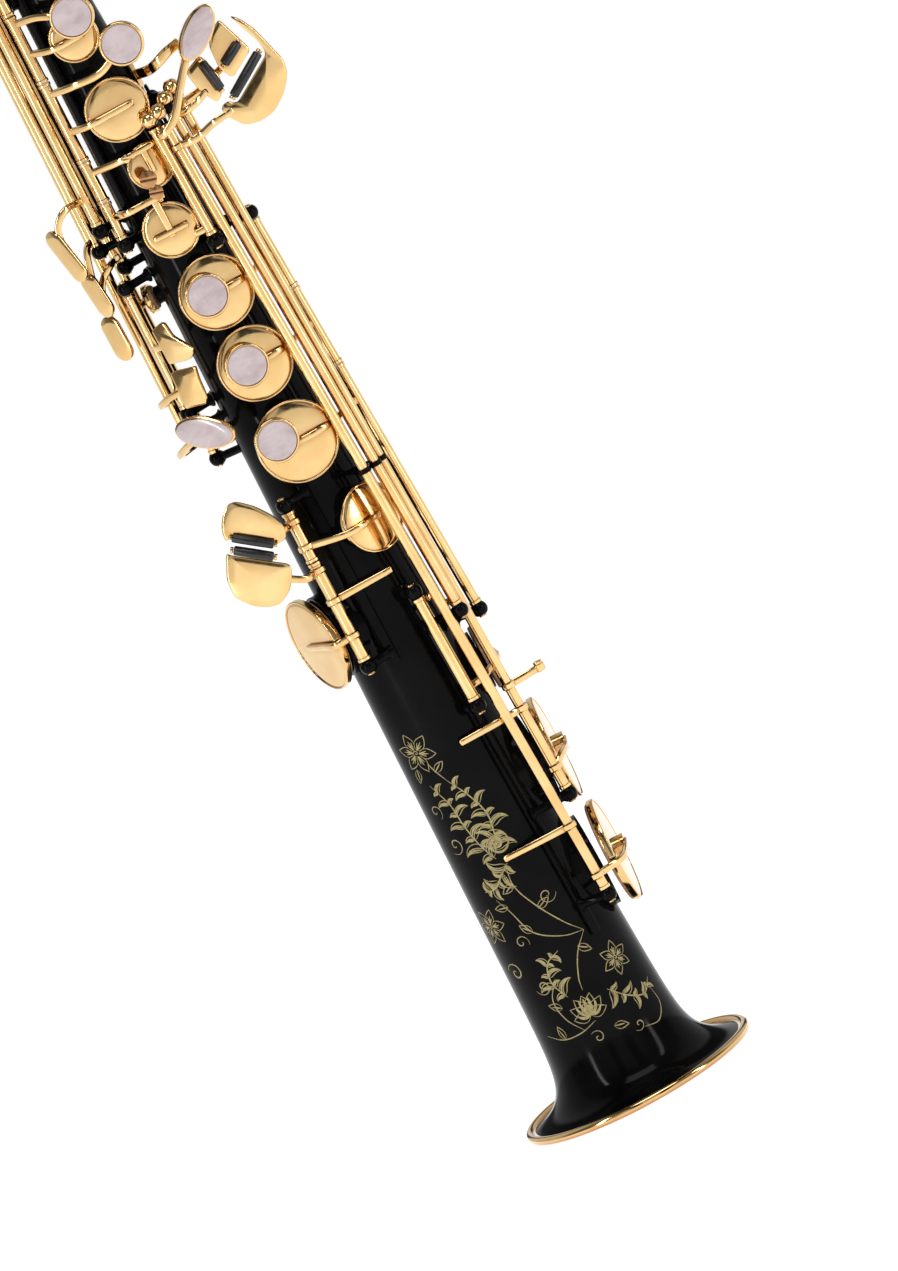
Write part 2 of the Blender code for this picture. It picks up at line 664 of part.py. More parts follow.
def make_pinky_keys():
    """The right little finger's low C and E flat keys, on one hinge."""
    line = PINKY
    turn = opening_turn(line, "low_c", 2.6)
    arm = cup_arm(line, "low_c", 199.6, [cup_point("low_c", 19.6, 0.9)], -4)
    foot = bar([on(line, 214), Vector((9.5, -23.6, 214))])
    outline = ((-39.8, 248.6), (-44.3, 239.6), (-44.8, 232.6), (-40.3, 226.6), (-34.8, 223.4), (-30.8, 223.1),
               (-25.8, 226.1), (-22.3, 231.1), (-21.3, 234.6), (-25.3, 237.4), (-38.8, 247.1))
    touch = plate(outline, pinky_place())
    link = bar([on(line, 226.5), Vector((-19, -30.5, 226.8)), pinky_point(-26, 231, -0.8)])
    pads = [("low_c_pad", pad("low_c"), "pad_leather")]
    rests = [sleeve(line, 189.6, 229.8, 2.2), touch, link, foot]
    low_c = key("low_c_key", line, 210, [cup("low_c", True), arm], turn, True, rests, pads)
    low_roller = roller("low_c_roller", low_c, pinky_point(-25.3, 239.9, 0.9), pinky_point(-36.9, 248.5, 0.9))

    turn = opening_turn(line, "e_flat", 1.9)
    arm = cup_arm(line, "e_flat", 236, [cup_point("e_flat", -12, 0.8)], 0)
    outline = ((-38.2, 252.3), (-37.2, 257.3), (-34.2, 261.8), (-30.7, 264.3), (-27.7, 263.8), (-22.7, 259.3),
               (-18.2, 252.8), (-16.7, 248.3), (-18, 243.5), (-22.7, 242.9), (-36.4, 252.7))
    touch = plate(outline, pinky_place())
    link = bar([on(line, 246.3), Vector((-16.5, -28.5, 246.3)), pinky_point(-20, 246.6, -0.8)])
    shapes = [sleeve(line, 230.2, 250.4, 2.2), cup("e_flat"), arm, touch, link]
    e_flat = key("e_flat_key", line, 240, shapes, turn)
    return [low_c, low_roller, e_flat]


def pinky_place():
    """The plane of the right little finger's touches, facing the front and the right hand's side."""
    return Matrix(((1, 0, 0, 0), (-0.2, 0, 1, -36.5), (0, 1, 0, 0), (0, 0, 0, 1)))


def pinky_point(x, z, above):
    return pinky_place() @ Vector((x, z, -above))


def make_right_stack():
    """Keys D, E and F, whose cups carry the right hand's pearls."""
    keys = []
    line = RIGHT_STACK
    for name, low, high, x, z in (("d", 185.4, 286.2, -7.0, 276.5), ("e", 286.6, 318.4, -3.6, 305.5),
                                  ("f", 318.8, 347.4, -4.2, 334.6)):
        centre, angle, diameter = CUPS[name]
        arm = cup_arm(line, name, centre, [cup_point(name, diameter / 2 - 4, 0.9)], -6)
        seat = Vector((x, -seat_radius(centre) - CUP_TOP - 1.2, z))
        stalk = cylinder(seat + Vector((0, 3, 0)), seat + Vector((0, -2.2, 0)), 2.6)
        pearl = bezel(seat + Vector((0, -2.0, 0)))
        shapes = [sleeve(line, low, high, 2.0), cup(name), arm, stalk, pearl]
        keys.append(key(name + "_key", line, centre, shapes, opening_turn(line, name, 3.0), True))
    return keys


# The keys of the upper half


def make_f_sharp_and_g_sharp():
    """The F sharp vent, the G sharp cup beside it and the lever that frees the G sharp cup."""
    line = LEFT_STACK
    over = [cup_point("f_sharp", side, 1.2, 13.0) for side in (-11, 2)]
    cross = bar([on(line, 373.8), *over])
    stem = bar([cup_point("f_sharp", 0, 0.9, 14.0), cup_point("f_sharp", 0, 0.6, -2)], side=tangent(0))
    shapes = [sleeve(line, 365.2, 379.6, 2.0), cup("f_sharp"), cross, stem]
    vent = key("f_sharp_key", line, 372, shapes, opening_turn(line, "f_sharp", 2.0), True)

    over = [cup_point("g_sharp", side, 1.1, 7.0) for side in (-8, 4)]
    cross = bar([on(line, 391.5), *over])
    stem = bar([cup_point("g_sharp", 0, 0.9, 8.0), cup_point("g_sharp", 0, 0.6, -2)], side=tangent(8))
    shapes = [sleeve(line, 380.0, 396.2, 2.0), cup("g_sharp"), cross, stem]
    closed = key("g_sharp_key", line, 388, shapes, opening_turn(line, "g_sharp", 2.2))

    line = G_SHARP_LINE
    bend = Vector((31.5, -31.4, 413.5))
    link = bar([on(line, 394), Vector((11.5, -33.6, 394)), Vector((18, -35.4, 397.5)), bend])
    outline = [(y * 0.8 + x * 0.6, y * 0.6 - x * 0.8) for x, y in oval(22, 11, 14)]
    place = facing(Vector((39.8, -29.5, 420.5)), Vector((0.24, -1, 0)))
    touch = plate(outline, place, 2.4)
    bridge = bar([bend, Vector((35.5, -29.8, 418))])
    tip = bar([on(line, 356), Vector((5.5, -27.4, 356))])
    lever = key("g_sharp_lever", line, 375, [sleeve(line, 353.2, 397.0), link, bridge, touch, tip], LEVER_TURN)
    return [vent, closed, lever]


def make_left_stack():
    """Keys G, A, B flat (bis) and B, which carry the left hand's pearls."""
    line = LEFT_STACK
    front = Vector((0, -1, 0))
    keys = []

    arm = cup_arm(line, "g", 408.3, [cup_point("g", -10.5, 0.9)], 6)
    seat = Vector((16.6, -25.2, 430))
    reach = bar([on(line, 423.6), Vector((-7.5, -21.5, 423.6)), Vector((4, -23.8, 423.6)),
                 Vector((12, -25.0, 427.5)), seat + Vector((0, 0.4, 0))])
    shapes = [sleeve(line, 396.6, 428.2, 2.0), cup("g"), arm, reach, bezel(seat)]
    keys.append(key("g_key", line, 410, shapes, opening_turn(line, "g", 2.8), True))

    arm = cup_arm(line, "a", 440, [cup_point("a", -8, 0.9)], 4)
    seat = Vector((5.5, -25.2, 447))
    reach = bar([on(line, 452), Vector((-8, -20.5, 452)), Vector((-1, -24.6, 450)), seat + Vector((0, 0.4, 0))])
    shapes = [sleeve(line, 428.6, 455.2, 2.0), cup("a"), arm, reach, bezel(seat)]
    keys.append(key("a_key", line, 445, shapes, opening_turn(line, "a", 2.6), True))

    arm = cup_arm(line, "bis", 463.5, [cup_point("bis", -7, 0.9)], 5)
    seat = Vector((11, -23.4, 466))
    reach = bar([cup_point("bis", 3, 0.9), Vector((8, -22.8, 465)), seat + Vector((0, 0.4, 0))])
    shapes = [sleeve(line, 455.6, 470.6, 2.0), cup("bis"), arm, reach, bezel(seat, radius=SMALL_BEZEL_RADIUS)]
    keys.append(key("bis_key", line, 463, shapes, opening_turn(line, "bis", 2.4), True))

    arm = cup_arm(line, "b", 484, [cup_point("b", -6.5, 0.9)], 4)
    top = cup_point("b", 0, 0)
    seat = Vector((3, top.y - 3.4, 480.5))
    stalk = cylinder(Vector((3, top.y + 1, 480.5)), seat + front * 0.4, 2.2)
    shapes = [sleeve(line, 471.0, 492.4, 2.0), cup("b"), arm, stalk, bezel(seat)]
    keys.append(key("b_key", line, 482, shapes, opening_turn(line, "b", 2.4), True))

    line = FRONT_F_LINE
    seat = Vector((-2, -24.8, 498.5))
    link = bar([on(line, 504), Vector((3.5, -24.6, 501.5)), seat + Vector((0, -0.6, 0))])
    tail = bar([on(line, 509), around(509, 32, body_radius(509) + 11.5), around(531, 30, body_radius(531) + 9.5)])
    touch = turned(((5.4, 0), (5.4, 1.2), (4.4, 1.8)), 12, facing(seat, front))
    shapes = [sleeve(line, 500.2, 511.0, 1.6), link, tail, touch]
    keys.append(key("front_f_key", line, 505, shapes, -math.radians(6)))
    return keys


def touch_plate(centre, out, length, width, tilt=0.0, depth=TOUCH_DEPTH):
    """An oval touch at a point, facing out, its length along the body or tilted from it."""
    lean = Matrix.Rotation(math.radians(tilt), 4, "Z")
    return plate(rounded(length, width), facing(centre, out) @ lean, depth)


# The two side touches that run to a point, in their own planes
POINTED_TOUCHES = {
    "f_sharp_trill": ((-6, 7.3), (-0.7, 8.9), (0.9, 8.2), (1.6, 2.6), (7.4, -4.2), (5.8, -6.7), (3, -7.6), (-6.1, -6.6)),
    "high_f_sharp": ((-5, 6.9), (-2.1, 7.3), (6.9, 6.3), (5.6, 1.4), (4.7, -6.4), (3.3, -8), (-6.4, -7.2)),
}


def make_side_keys():
    """The right hand's side keys: high E, C, B flat, F sharp trill, high F sharp and high G."""
    keys = []
    plans = (
        # name, line, sleeve ends, arm height, reach over the cup, way, touch: centre, out angle, size, tilt
        ("high_e", HIGH_E_LINE, (373.6, 545.4), 531, (4, -4), 384,
         [Vector((-32, -21, 385)), Vector((-37.5, -21.5, 380))],
         (Vector((-38.5, -20.5, 370)), -52, 22, 8, 16)),
        ("side_c", SIDE_C_LINE, (365.4, 514.6), 505, (4, -4), 368,
         [Vector((-32, -5, 366)), Vector((-35, -6, 357))],
         (Vector((-35.5, -6.5, 350)), -50, 18, 8, 8)),
        ("side_b_flat", SIDE_B_FLAT_LINE, (354.4, 474.6), 459, (-4, 3), 356.5,
         [Vector((-27, -1, 356.5)), Vector((-34, -1, 350))],
         (Vector((-36.8, -1, 332)), -45, 18, 8.5, 0)),
        ("f_sharp_trill", TRILL_LINE, (298.4, 344.4), 338, (3, -3), 322,
         [Vector((-26.5, -14, 324))],
         (Vector((-19.8, -22.0, 324)), -40, 15.5, 10, -10)),
        ("high_f_sharp", HIGH_F_SHARP_LINE, (290.4, 564.4), 552, (4, -3), 302,
         [Vector((-35.5, -5, 303)), Vector((-31, -15.5, 306))],
         (Vector((-22.0, -22.5, 307.5)), -40, 16, 9.5, -8)),
        ("high_g", HIGH_G_LINE, (275.4, 581.4), 571, (3.5, -2.5), 282,
         [Vector((-36, 8, 282)), Vector((-38, -6, 284)), Vector((-33, -18, 288))],
         (Vector((-25, -25, 290.5)), -32, 24, 12.6, 66)),
    )
    for name, line, ends, arm_z, (near, far), link_z, ways, (centre, angle, length, width, tilt) in plans:
        side = 1 if opening_turn(line, name, 1) > 0 else -1
        away = -side * abs(near) if name in ("high_e", "side_c") else near
        arm = cup_arm(line, name, arm_z, [cup_point(name, away, 0.9)], far)
        place = outward(angle)
        link = bar([on(line, link_z), *ways, centre + place * 0.8], 2.4, 1.6)
        touch = touch_plate(centre, place, length, width, tilt)
        if name in POINTED_TOUCHES:
            touch = plate(POINTED_TOUCHES[name], facing(centre, place))
        shapes = [sleeve(line, *ends), cup(name), arm, link, touch]
        lift = 1.3 if name == "high_g" else 1.7
        keys.append(key(name + "_key", line, link_z, shapes, opening_turn(line, name, lift)))
    return keys


def make_palm_keys():
    """The left palm's D, E flat and F keys."""
    keys = []
    plans = (
        ("palm_d", PALM_D_LINE, (461.0, 511.0), 506, 4, 464,
         [around(463, 94, 27)], (around(453, 100, 29.5), 100, 22, 9)),
        ("palm_e_flat", PALM_E_FLAT_LINE, (476.0, 540.4), 524, 4, 490,
         [around(488, 112, 26)], (around(478, 122, 29.5), 122, 22, 9)),
        ("palm_f", PALM_F_LINE, (536.0, 553.0), 542, 3.5, 546,
         [around(542, 70, 25), around(516, 76, 27.5)], (around(505, 80, 28.5), 80, 20, 9)),
    )
    for name, line, ends, arm_z, near, link_z, ways, (centre, angle, length, width) in plans:
        arm = cup_arm(line, name, arm_z, [cup_point(name, near, 0.9)], -3)
        link = bar([on(line, link_z), *ways, centre + outward(angle) * 0.8], 2.6, 1.7)
        touch = touch_plate(centre, outward(angle), length, width)
        shapes = [sleeve(line, *ends), cup(name), arm, link, touch]
        keys.append(key(name + "_key", line, link_z, shapes, opening_turn(line, name, 2.2)))
    return keys


def make_octave_keys():
    """The thumb's octave lever and the two small vents that it governs."""
    line = OCTAVE_LINE
    touch = touch_plate(around(466, 192, body_radius(466) + 6.5), outward(192), 15, 12, 90)
    link = bar([on(line, 470), around(469, 172, body_radius(469) + 8.3), around(467, 186, body_radius(467) + 7.4)])
    tail = bar([on(line, 500), around(501, 172, body_radius(501) + 8.0)])
    shapes = [sleeve(line, 466.0, 503.4, 1.8), link, tail, touch]
    lever = key("octave_lever", line, 480, shapes, LEVER_TURN)

    arm = cup_arm(line, "lower_octave", 520, [cup_point("lower_octave", -3, 0.9)], 2.5)
    shapes = [sleeve(line, 504.0, 530.4, 1.8), cup("lower_octave"), arm]
    lower = key("lower_octave_key", line, 515, shapes, opening_turn(line, "lower_octave", 1.6))

    line = UPPER_OCTAVE_LINE
    arm = cup_arm(line, "upper_octave", 566, [cup_point("upper_octave", -3, 0.9)], 2.2)
    shapes = [sleeve(line, 545.6, 580.4, 1.8), cup("upper_octave"), arm]
    upper = key("upper_octave_key", line, 560, shapes, opening_turn(line, "upper_octave", 1.6))
    return [lever, lower, upper]


# Ribs and posts


def make_ribs():
    """The straps that carry the posts of each group of keys."""
    front = [rib(30, BELL_TOP + 1, 206)]
    for line, z in ((LOW_B_FLAT_LINE, 72.2), (LOW_B_LINE, 110), (C_SHARP_CUP_LINE, 155.4), (C_SHARP_CUP_LINE, 203),
                    (LOW_C_SHARP_LINE, 189)):
        front += post(line, z, 30)
    fused("front_rib", front, "black_lacquer")

    pinky = [rib(-13, 183, 256)]
    for z in (187, 253):
        pinky += post(PINKY, z, -13)
    fused("pinky_rib", pinky, "black_lacquer")

    right = [rib(86, 180, 408)]
    for line, z in ((RIGHT_STACK, 183), (RIGHT_STACK, 350), (G_SHARP_LINE, 350.6), (LOW_C_SHARP_LINE, 401),
                    (LOW_B_LINE, 403.2)):
        right += post(line, z, 86)
    heads = [on(G_SHARP_LINE, 399.6), on(LOW_B_FLAT_LINE, 399.4), on(LOW_C_SHARP_LINE, 401), on(LOW_B_LINE, 403.2)]
    along = UP * HEAD_LENGTH / 2
    right += [cylinder(head - along, head + along, HEAD_RADIUS) for head in heads[:2]]
    right.append(bar(heads, 2.6, 1.6))
    fused("right_rib", right, "black_lacquer")

    left = [rib(-50, 360, 497)]
    left += post(LEFT_STACK, 362.6, -50) + post(LEFT_STACK, 495, -50)
    left += post(HIGH_E_LINE, 371, -50, strap=-66) + post(SIDE_C_LINE, 363, -50, strap=-85)
    fused("left_rib", left, "black_lacquer")

    side = [rib(-128, 269, 538)]
    side += post(HIGH_G_LINE, 273, -128) + post(HIGH_F_SHARP_LINE, 288, -128, strap=-108)
    side += post(TRILL_LINE, 296, -128, strap=-86) + post(TRILL_LINE, 347, -128, strap=-86)
    side += post(SIDE_B_FLAT_LINE, 352, -128) + post(SIDE_B_FLAT_LINE, 477, -128)
    side += post(SIDE_C_LINE, 517, -128, strap=-88)
    fused("side_rib", side, "black_lacquer")

    upper = [rib(-100, 540, 588)]
    upper += post(HIGH_E_LINE, 548, -100, strap=-66) + post(HIGH_F_SHARP_LINE, 567, -100)
    upper += post(HIGH_G_LINE, 584, -100, strap=-120)
    fused("upper_rib", upper, "black_lacquer")

    palm = [rib(118, 454, 587)]
    palm += post(PALM_D_LINE, 458, 118, strap=90) + post(PALM_D_LINE, 513.4, 118, strap=94)
    palm += post(PALM_E_FLAT_LINE, 473.4, 118) + post(PALM_E_FLAT_LINE, 543, 118)
    palm += post(PALM_F_LINE, 533.4, 118, strap=72) + post(PALM_F_LINE, 555.6, 118, strap=72)
    palm += post(OCTAVE_LINE, 463.4, 118, strap=150) + post(OCTAVE_LINE, 533, 118, strap=150)
    palm += post(UPPER_OCTAVE_LINE, 543, 118, strap=134) + post(UPPER_OCTAVE_LINE, 583, 118, strap=134)
    fused("palm_rib", palm, "black_lacquer")

    middle = [rib(8, 493, 519)]
    middle += post(FRONT_F_LINE, 497.8, 8) + post(FRONT_F_LINE, 513.4, 8)
    fused("front_f_rib", middle, "black_lacquer")


def make_table_guard():
    """The bracket beside the little-finger table that limits the levers' travel."""
    path = [around(414, 66, body_radius(414) + GAP + 0.7), around(414, 58, 21), Vector((21, -22.5, 416)),
            Vector((27, -25.2, 418.5)), Vector((32.5, -23.8, 419.5))]
    foot = bar([around(z, 66, body_radius(z) + GAP + 0.7) for z in (409.5, 418.5)], 4, 1.4, tangent(66))
    fused("table_guard", [foot, bar(path, 4, 1.6)], "gold_lacquer")


def main():
    clear_scene()
    make_bell()
    make_bell_rim()
    make_body_tube()
    make_top()
    make_mouthpiece()
    make_back_fittings()
    make_ribs()
    make_table_guard()
    make_low_b_flat()
    make_low_b()
    make_low_c_sharp()
    make_pinky_keys()
    make_right_stack()
    make_f_sharp_and_g_sharp()
    make_left_stack()
    make_side_keys()
    make_palm_keys()
    make_octave_keys()


main()
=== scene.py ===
"""Looks of the soprano saxophone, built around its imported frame.

Lengths are in millimetres until a mesh is made, and angles in degrees. Angles around the body start at the
front (-Y) and grow towards +X. Keys are shaped closed on their tone holes, and those that stand open are then
turned about their joint's axis.
"""

import math

import bmesh
import bpy
from mathutils import Matrix, Vector


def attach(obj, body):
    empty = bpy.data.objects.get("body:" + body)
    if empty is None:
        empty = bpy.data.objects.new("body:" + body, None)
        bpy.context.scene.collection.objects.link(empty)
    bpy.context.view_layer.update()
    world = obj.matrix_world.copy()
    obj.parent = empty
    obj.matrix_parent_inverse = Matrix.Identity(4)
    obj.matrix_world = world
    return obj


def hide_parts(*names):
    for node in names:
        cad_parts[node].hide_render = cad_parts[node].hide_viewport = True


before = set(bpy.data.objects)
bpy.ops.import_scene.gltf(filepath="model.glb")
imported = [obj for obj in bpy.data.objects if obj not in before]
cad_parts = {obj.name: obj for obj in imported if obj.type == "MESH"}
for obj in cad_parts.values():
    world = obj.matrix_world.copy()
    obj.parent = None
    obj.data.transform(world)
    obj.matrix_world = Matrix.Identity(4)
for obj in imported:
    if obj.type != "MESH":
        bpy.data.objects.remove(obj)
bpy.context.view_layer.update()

MM = 0.001
RIGHT = Vector((1, 0, 0))
FRONT = Vector((0, -1, 0))
UP = Vector((0, 0, 1))

# The body and the keywork, as the frame has them
FOOT_RADIUS = 25.8
TAPER = 0.0292
FLARE_RADIUS = 18.0
FLARE_LENGTH = 4.9
FLARE_POWER = 0.85
WALL = 1.1
RIM_CENTRE = 43.9
RIM_RADIUS = 1.6
BELL_TOP = 60.0
BODY_TOP = 590.0
NECK_TOP = 660.0
MOUTHPIECE_LOW = NECK_TOP - 17
MOUTHPIECE_TOP = 712.0
CHIMNEY_HEIGHT = 2.0
CHIMNEY_WALL = 1.2
CUP_OVERHANG = 2.2
CUP_FLOOR = 2.1
CUP_TOP = 4.6
GAP = 0.3
RIB_WIDTH = 4.0
RIB_DEPTH = 1.3
RIB_MIDDLE = GAP + RIB_DEPTH / 2
SLEEVE = 1.9
STACK_SLEEVE = 2.05
WIDE_SLEEVE = 2.2
BALL_RADIUS = 3.1
BALL_CUT = 0.74
STEM_RADIUS = 1.6
BEZEL_RADIUS = 8.2
SMALL_BEZEL = 4.6
TOUCH_DEPTH = 1.8
ARM_LIFT = 0.9

# How finely round things are cut, and from which angle in degrees an edge stays sharp
BELL_SIDES = 160
TUBE_SIDES = 128
WIDE_SIDES = 72
SMALL_SIDES = 56
SHARP_ANGLE = 38

# Tone holes: height of the centre, angle around the body, diameter of the key cup over it
CUPS = {
    "low_b_flat": (80.3, 92, 40.5),
    "low_b": (123.5, 95, 40.5),
    "low_c_sharp": (165.0, 92, 27.0),
    "low_c": (199.6, -75, 36.5),
    "e_flat": (233.7, 31, 26.0),
    "d": (271.8, 0, 30.5),
    "e": (304.0, 0, 28.0),
    "f": (333.3, 0, 28.0),
    "f_sharp": (360.8, -3, 21.0),
    "f_sharp_trill": (338.0, -104, 11.0),
    "g_sharp": (384.5, 8, 17.5),
    "g": (408.3, 8, 24.0),
    "a": (438.6, 4, 18.4),
    "bis": (463.5, 3, 16.5),
    "b": (484.0, 0, 15.5),
    "side_b_flat": (459.0, -85, 13.5),
    "side_c": (505.0, -58, 13.0),
    "palm_d": (506.0, 50, 13.0),
    "palm_e_flat": (524.0, 72, 12.5),
    "high_e": (531.0, -33, 12.0),
    "palm_f": (542.0, 36, 11.5),
    "high_f_sharp": (552.0, -138, 11.0),
    "high_g": (571.0, -150, 10.0),
    "lower_octave": (520.0, 180, 8.0),
    "upper_octave": (566.0, 160, 7.5),
}
RESONATOR_FROM = 25


def body_radius(z):
    """Outer radius of the conical tube."""
    return FOOT_RADIUS - TAPER * z


def bell_radius(z):
    """Outer radius with the bell's flare, which dies away over the first few centimetres."""
    flare = math.exp(-((max(z - RIM_RADIUS, 0) / FLARE_LENGTH) ** FLARE_POWER))
    return body_radius(z) + FLARE_RADIUS * flare


def seat_radius(z):
    """How far from the axis the edge of a tone hole's chimney lies."""
    return body_radius(z) + CHIMNEY_HEIGHT


def outward(angle):
    return Vector((math.sin(math.radians(angle)), -math.cos(math.radians(angle)), 0))


def tangent(angle):
    return UP.cross(outward(angle))


def around(z, angle, radius):
    return outward(angle) * radius + UP * z


def over_tube(z, angle, height):
    """A point at a height over the tube's outside."""
    return around(z, angle, body_radius(z) + height)


def facing(origin, out, up=UP):
    """A placement whose Z is out and whose Y is as near to up as it can be."""
    out = out.normalized()
    right = up.cross(out).normalized()
    return Matrix.Translation(origin) @ Matrix((right, out.cross(right), out)).transposed().to_4x4()


def standing(origin, along):
    """A placement for something round whose Z runs along a direction."""
    return Matrix.Translation(origin) @ along.to_track_quat("Z", "Y").to_matrix().to_4x4()


def seat(name):
    """The placement of a tone hole's seat, Z outwards."""
    z, angle, _ = CUPS[name]
    return facing(around(z, angle, seat_radius(z)), outward(angle))


def hinge_line(low, high, angle, height):
    return over_tube(low, angle, height), over_tube(high, angle, height)


def on(line, z):
    """The point of a hinge line at height z."""
    low, high = line
    return low.lerp(high, (z - low.z) / (high.z - low.z))


def axis_of(line):
    return (line[1] - line[0]).normalized()


RIGHT_STACK = hinge_line(183, 350, 77, 11.2)
LEFT_STACK = hinge_line(365, 495, -50, 9.0)
PINKY = hinge_line(180, 255, -29, 9.0)
LOW_B_FLAT_LINE = (Vector((22.6, -27.5, 78)), Vector((14.4, -27.5, 397)))
LOW_C_SHARP_LINE = (Vector((24.4, -24.5, 192)), Vector((18.8, -24.5, 399)))
LOW_B_LINE = (Vector((27.6, -20.0, 110)), Vector((22.8, -20.0, 404)))
C_SHARP_CUP_LINE = (Vector((13.6, -26.4, 160)), Vector((13.0, -25.2, 200)))
G_SHARP_LINE = (Vector((10.6, -27.6, 350)), Vector((10.0, -27.6, 401)))
HIGH_E_LINE = hinge_line(365, 550, -60.5, 13.0)
SIDE_C_LINE = hinge_line(350, 520, -85, 13.0)
SIDE_B_FLAT_LINE = hinge_line(345, 480, -112, 9.0)
HIGH_F_SHARP_LINE = hinge_line(285, 570, -101, 15.0)
HIGH_G_LINE = hinge_line(270, 585, -124, 14.0)
TRILL_LINE = hinge_line(290, 350, -80, 11.0)
FRONT_F_LINE = hinge_line(495, 515, 14, 10.0)
PALM_F_LINE = hinge_line(490, 556, 66, 8.5)
PALM_D_LINE = hinge_line(455, 525, 85, 8.5)
PALM_E_FLAT_LINE = hinge_line(470, 545, 106, 8.5)
OCTAVE_LINE = hinge_line(435, 535, 155, 7.0)
UPPER_OCTAVE_LINE = hinge_line(540, 585, 135, 7.0)


# Materials


def feed(tree, made, inputs):
    """Sets a node's inputs. Each is a value, or the socket that feeds it."""
    for name, value in inputs.items():
        if isinstance(value, bpy.types.NodeSocket):
            tree.links.new(value, made.inputs[name])
        else:
            made.inputs[name].default_value = value


def node(tree, kind, inputs, **settings):
    made = tree.nodes.new("ShaderNode" + kind)
    for name, value in settings.items():
        setattr(made, name, value)
    feed(tree, made, inputs)
    return made


def noise(tree, scale, detail, stretch=(1, 1, 1)):
    """Noise in the object's own space."""
    place = node(tree, "TexCoord", {}).outputs["Object"]
    stretched = node(tree, "Mapping", {"Vector": place, "Scale": stretch}).outputs["Vector"]
    return node(tree, "TexNoise", {"Vector": stretched, "Scale": scale, "Detail": detail}).outputs["Fac"]


def ramp(tree, value, stops):
    """Colours along a factor: stops are (position, colour)."""
    made = node(tree, "ValToRGB", {"Fac": value})
    elements = made.color_ramp.elements
    while len(elements) < len(stops):
        elements.new(0.5)
    for element, (position, colour) in zip(elements, stops):
        element.position = position
        element.color = (*colour, 1)
    return made


def spread(tree, value, low, high):
    """Maps the middle of a noise onto a range of roughness."""
    limits = {"From Min": 0.3, "From Max": 0.7, "To Min": low, "To Max": high}
    return node(tree, "MapRange", {"Value": value, **limits}).outputs["Result"]


def bump(tree, height, strength, distance):
    inputs = {"Height": height, "Strength": strength, "Distance": distance}
    return node(tree, "Bump", inputs).outputs["Normal"]


def new_material(name):
    made = bpy.data.materials.new(name)
    made.use_nodes = True
    return made, made.node_tree, made.node_tree.nodes["Principled BSDF"]


def gold_material(name="gold_lacquer", light=(0.80, 0.55, 0.25), deep=(0.73, 0.47, 0.19),
                  rough=(0.07, 0.15)):
    """Polished brass under tinted clear lacquer, with faint polishing haze, and shade painted dark brown into
    crevices and where parts meet.
    """
    made, tree, shader = new_material(name)
    tint = ramp(tree, noise(tree, 90, 2), ((0.35, deep), (0.65, light))).outputs["Color"]
    # Painted shade: ambient occlusion darkens the brass towards dark brown in crevices and in the gaps
    # between parts.
    painted_crevice_shade = node(tree, "AmbientOcclusion", {"Distance": 0.003}, samples=4).outputs["AO"]
    mix = node(tree, "Mix", {"Factor": painted_crevice_shade, "A": (0.38, 0.15, 0.04, 1), "B": tint}, data_type="RGBA")
    feed(tree, shader, {
        "Base Color": mix.outputs["Result"],
        "Metallic": 1,
        "Roughness": spread(tree, noise(tree, 420, 4), *rough),
        "Coat Weight": 0.3,
        "Coat Roughness": 0.05,
        "Normal": bump(tree, noise(tree, 160, 2), 0.03, 0.0002),
    })
    return made


def black_lacquer():
    """Deep gloss black lacquer with a trace of orange peel."""
    made, tree, shader = new_material("black_lacquer")
    tones = ((0.3, (0.0015, 0.0015, 0.0017)), (0.7, (0.004, 0.004, 0.0044)))
    feed(tree, shader, {
        "Base Color": ramp(tree, noise(tree, 60, 3), tones).outputs["Color"],
        "Specular IOR Level": 0.055,
        "Roughness": spread(tree, noise(tree, 240, 4), 0.07, 0.13),
        "Normal": bump(tree, noise(tree, 300, 2), 0.02, 0.0002),
    })
    return made


def pearl_material():
    """Mother-of-pearl: layered cloudy bands between pink, cream and grey, under a clear polish."""
    made, tree, shader = new_material("pearl")
    bands = noise(tree, 120, 5, (1.0, 1.0, 1.7))
    tones = ((0.28, (0.38, 0.295, 0.30)), (0.45, (0.47, 0.38, 0.385)), (0.58, (0.52, 0.435, 0.44)),
             (0.75, (0.43, 0.35, 0.36)))
    feed(tree, shader, {
        "Base Color": ramp(tree, bands, tones).outputs["Color"],
        "Roughness": spread(tree, noise(tree, 330, 3), 0.12, 0.3),
        "Coat Weight": 0.5,
        "Coat Roughness": 0.08,
        "Subsurface Weight": 0.15,
        "Subsurface Scale": 0.002,
        "Normal": bump(tree, bands, 0.08, 0.0003),
    })
    return made


def plain(name, low, high, rough, scale, detail=4, strength=0.2, depth=0.0003, stretch=(1, 1, 1), coat=0.0):
    """A dull or satin stuff whose colour, roughness and surface follow one noise."""
    made, tree, shader = new_material(name)
    grain = noise(tree, scale, detail, stretch)
    feed(tree, shader, {
        "Base Color": ramp(tree, grain, ((0.3, low), (0.7, high))).outputs["Color"],
        "Roughness": spread(tree, grain, *rough),
        "Coat Weight": coat,
        "Normal": bump(tree, grain, strength, depth),
    })
    return made


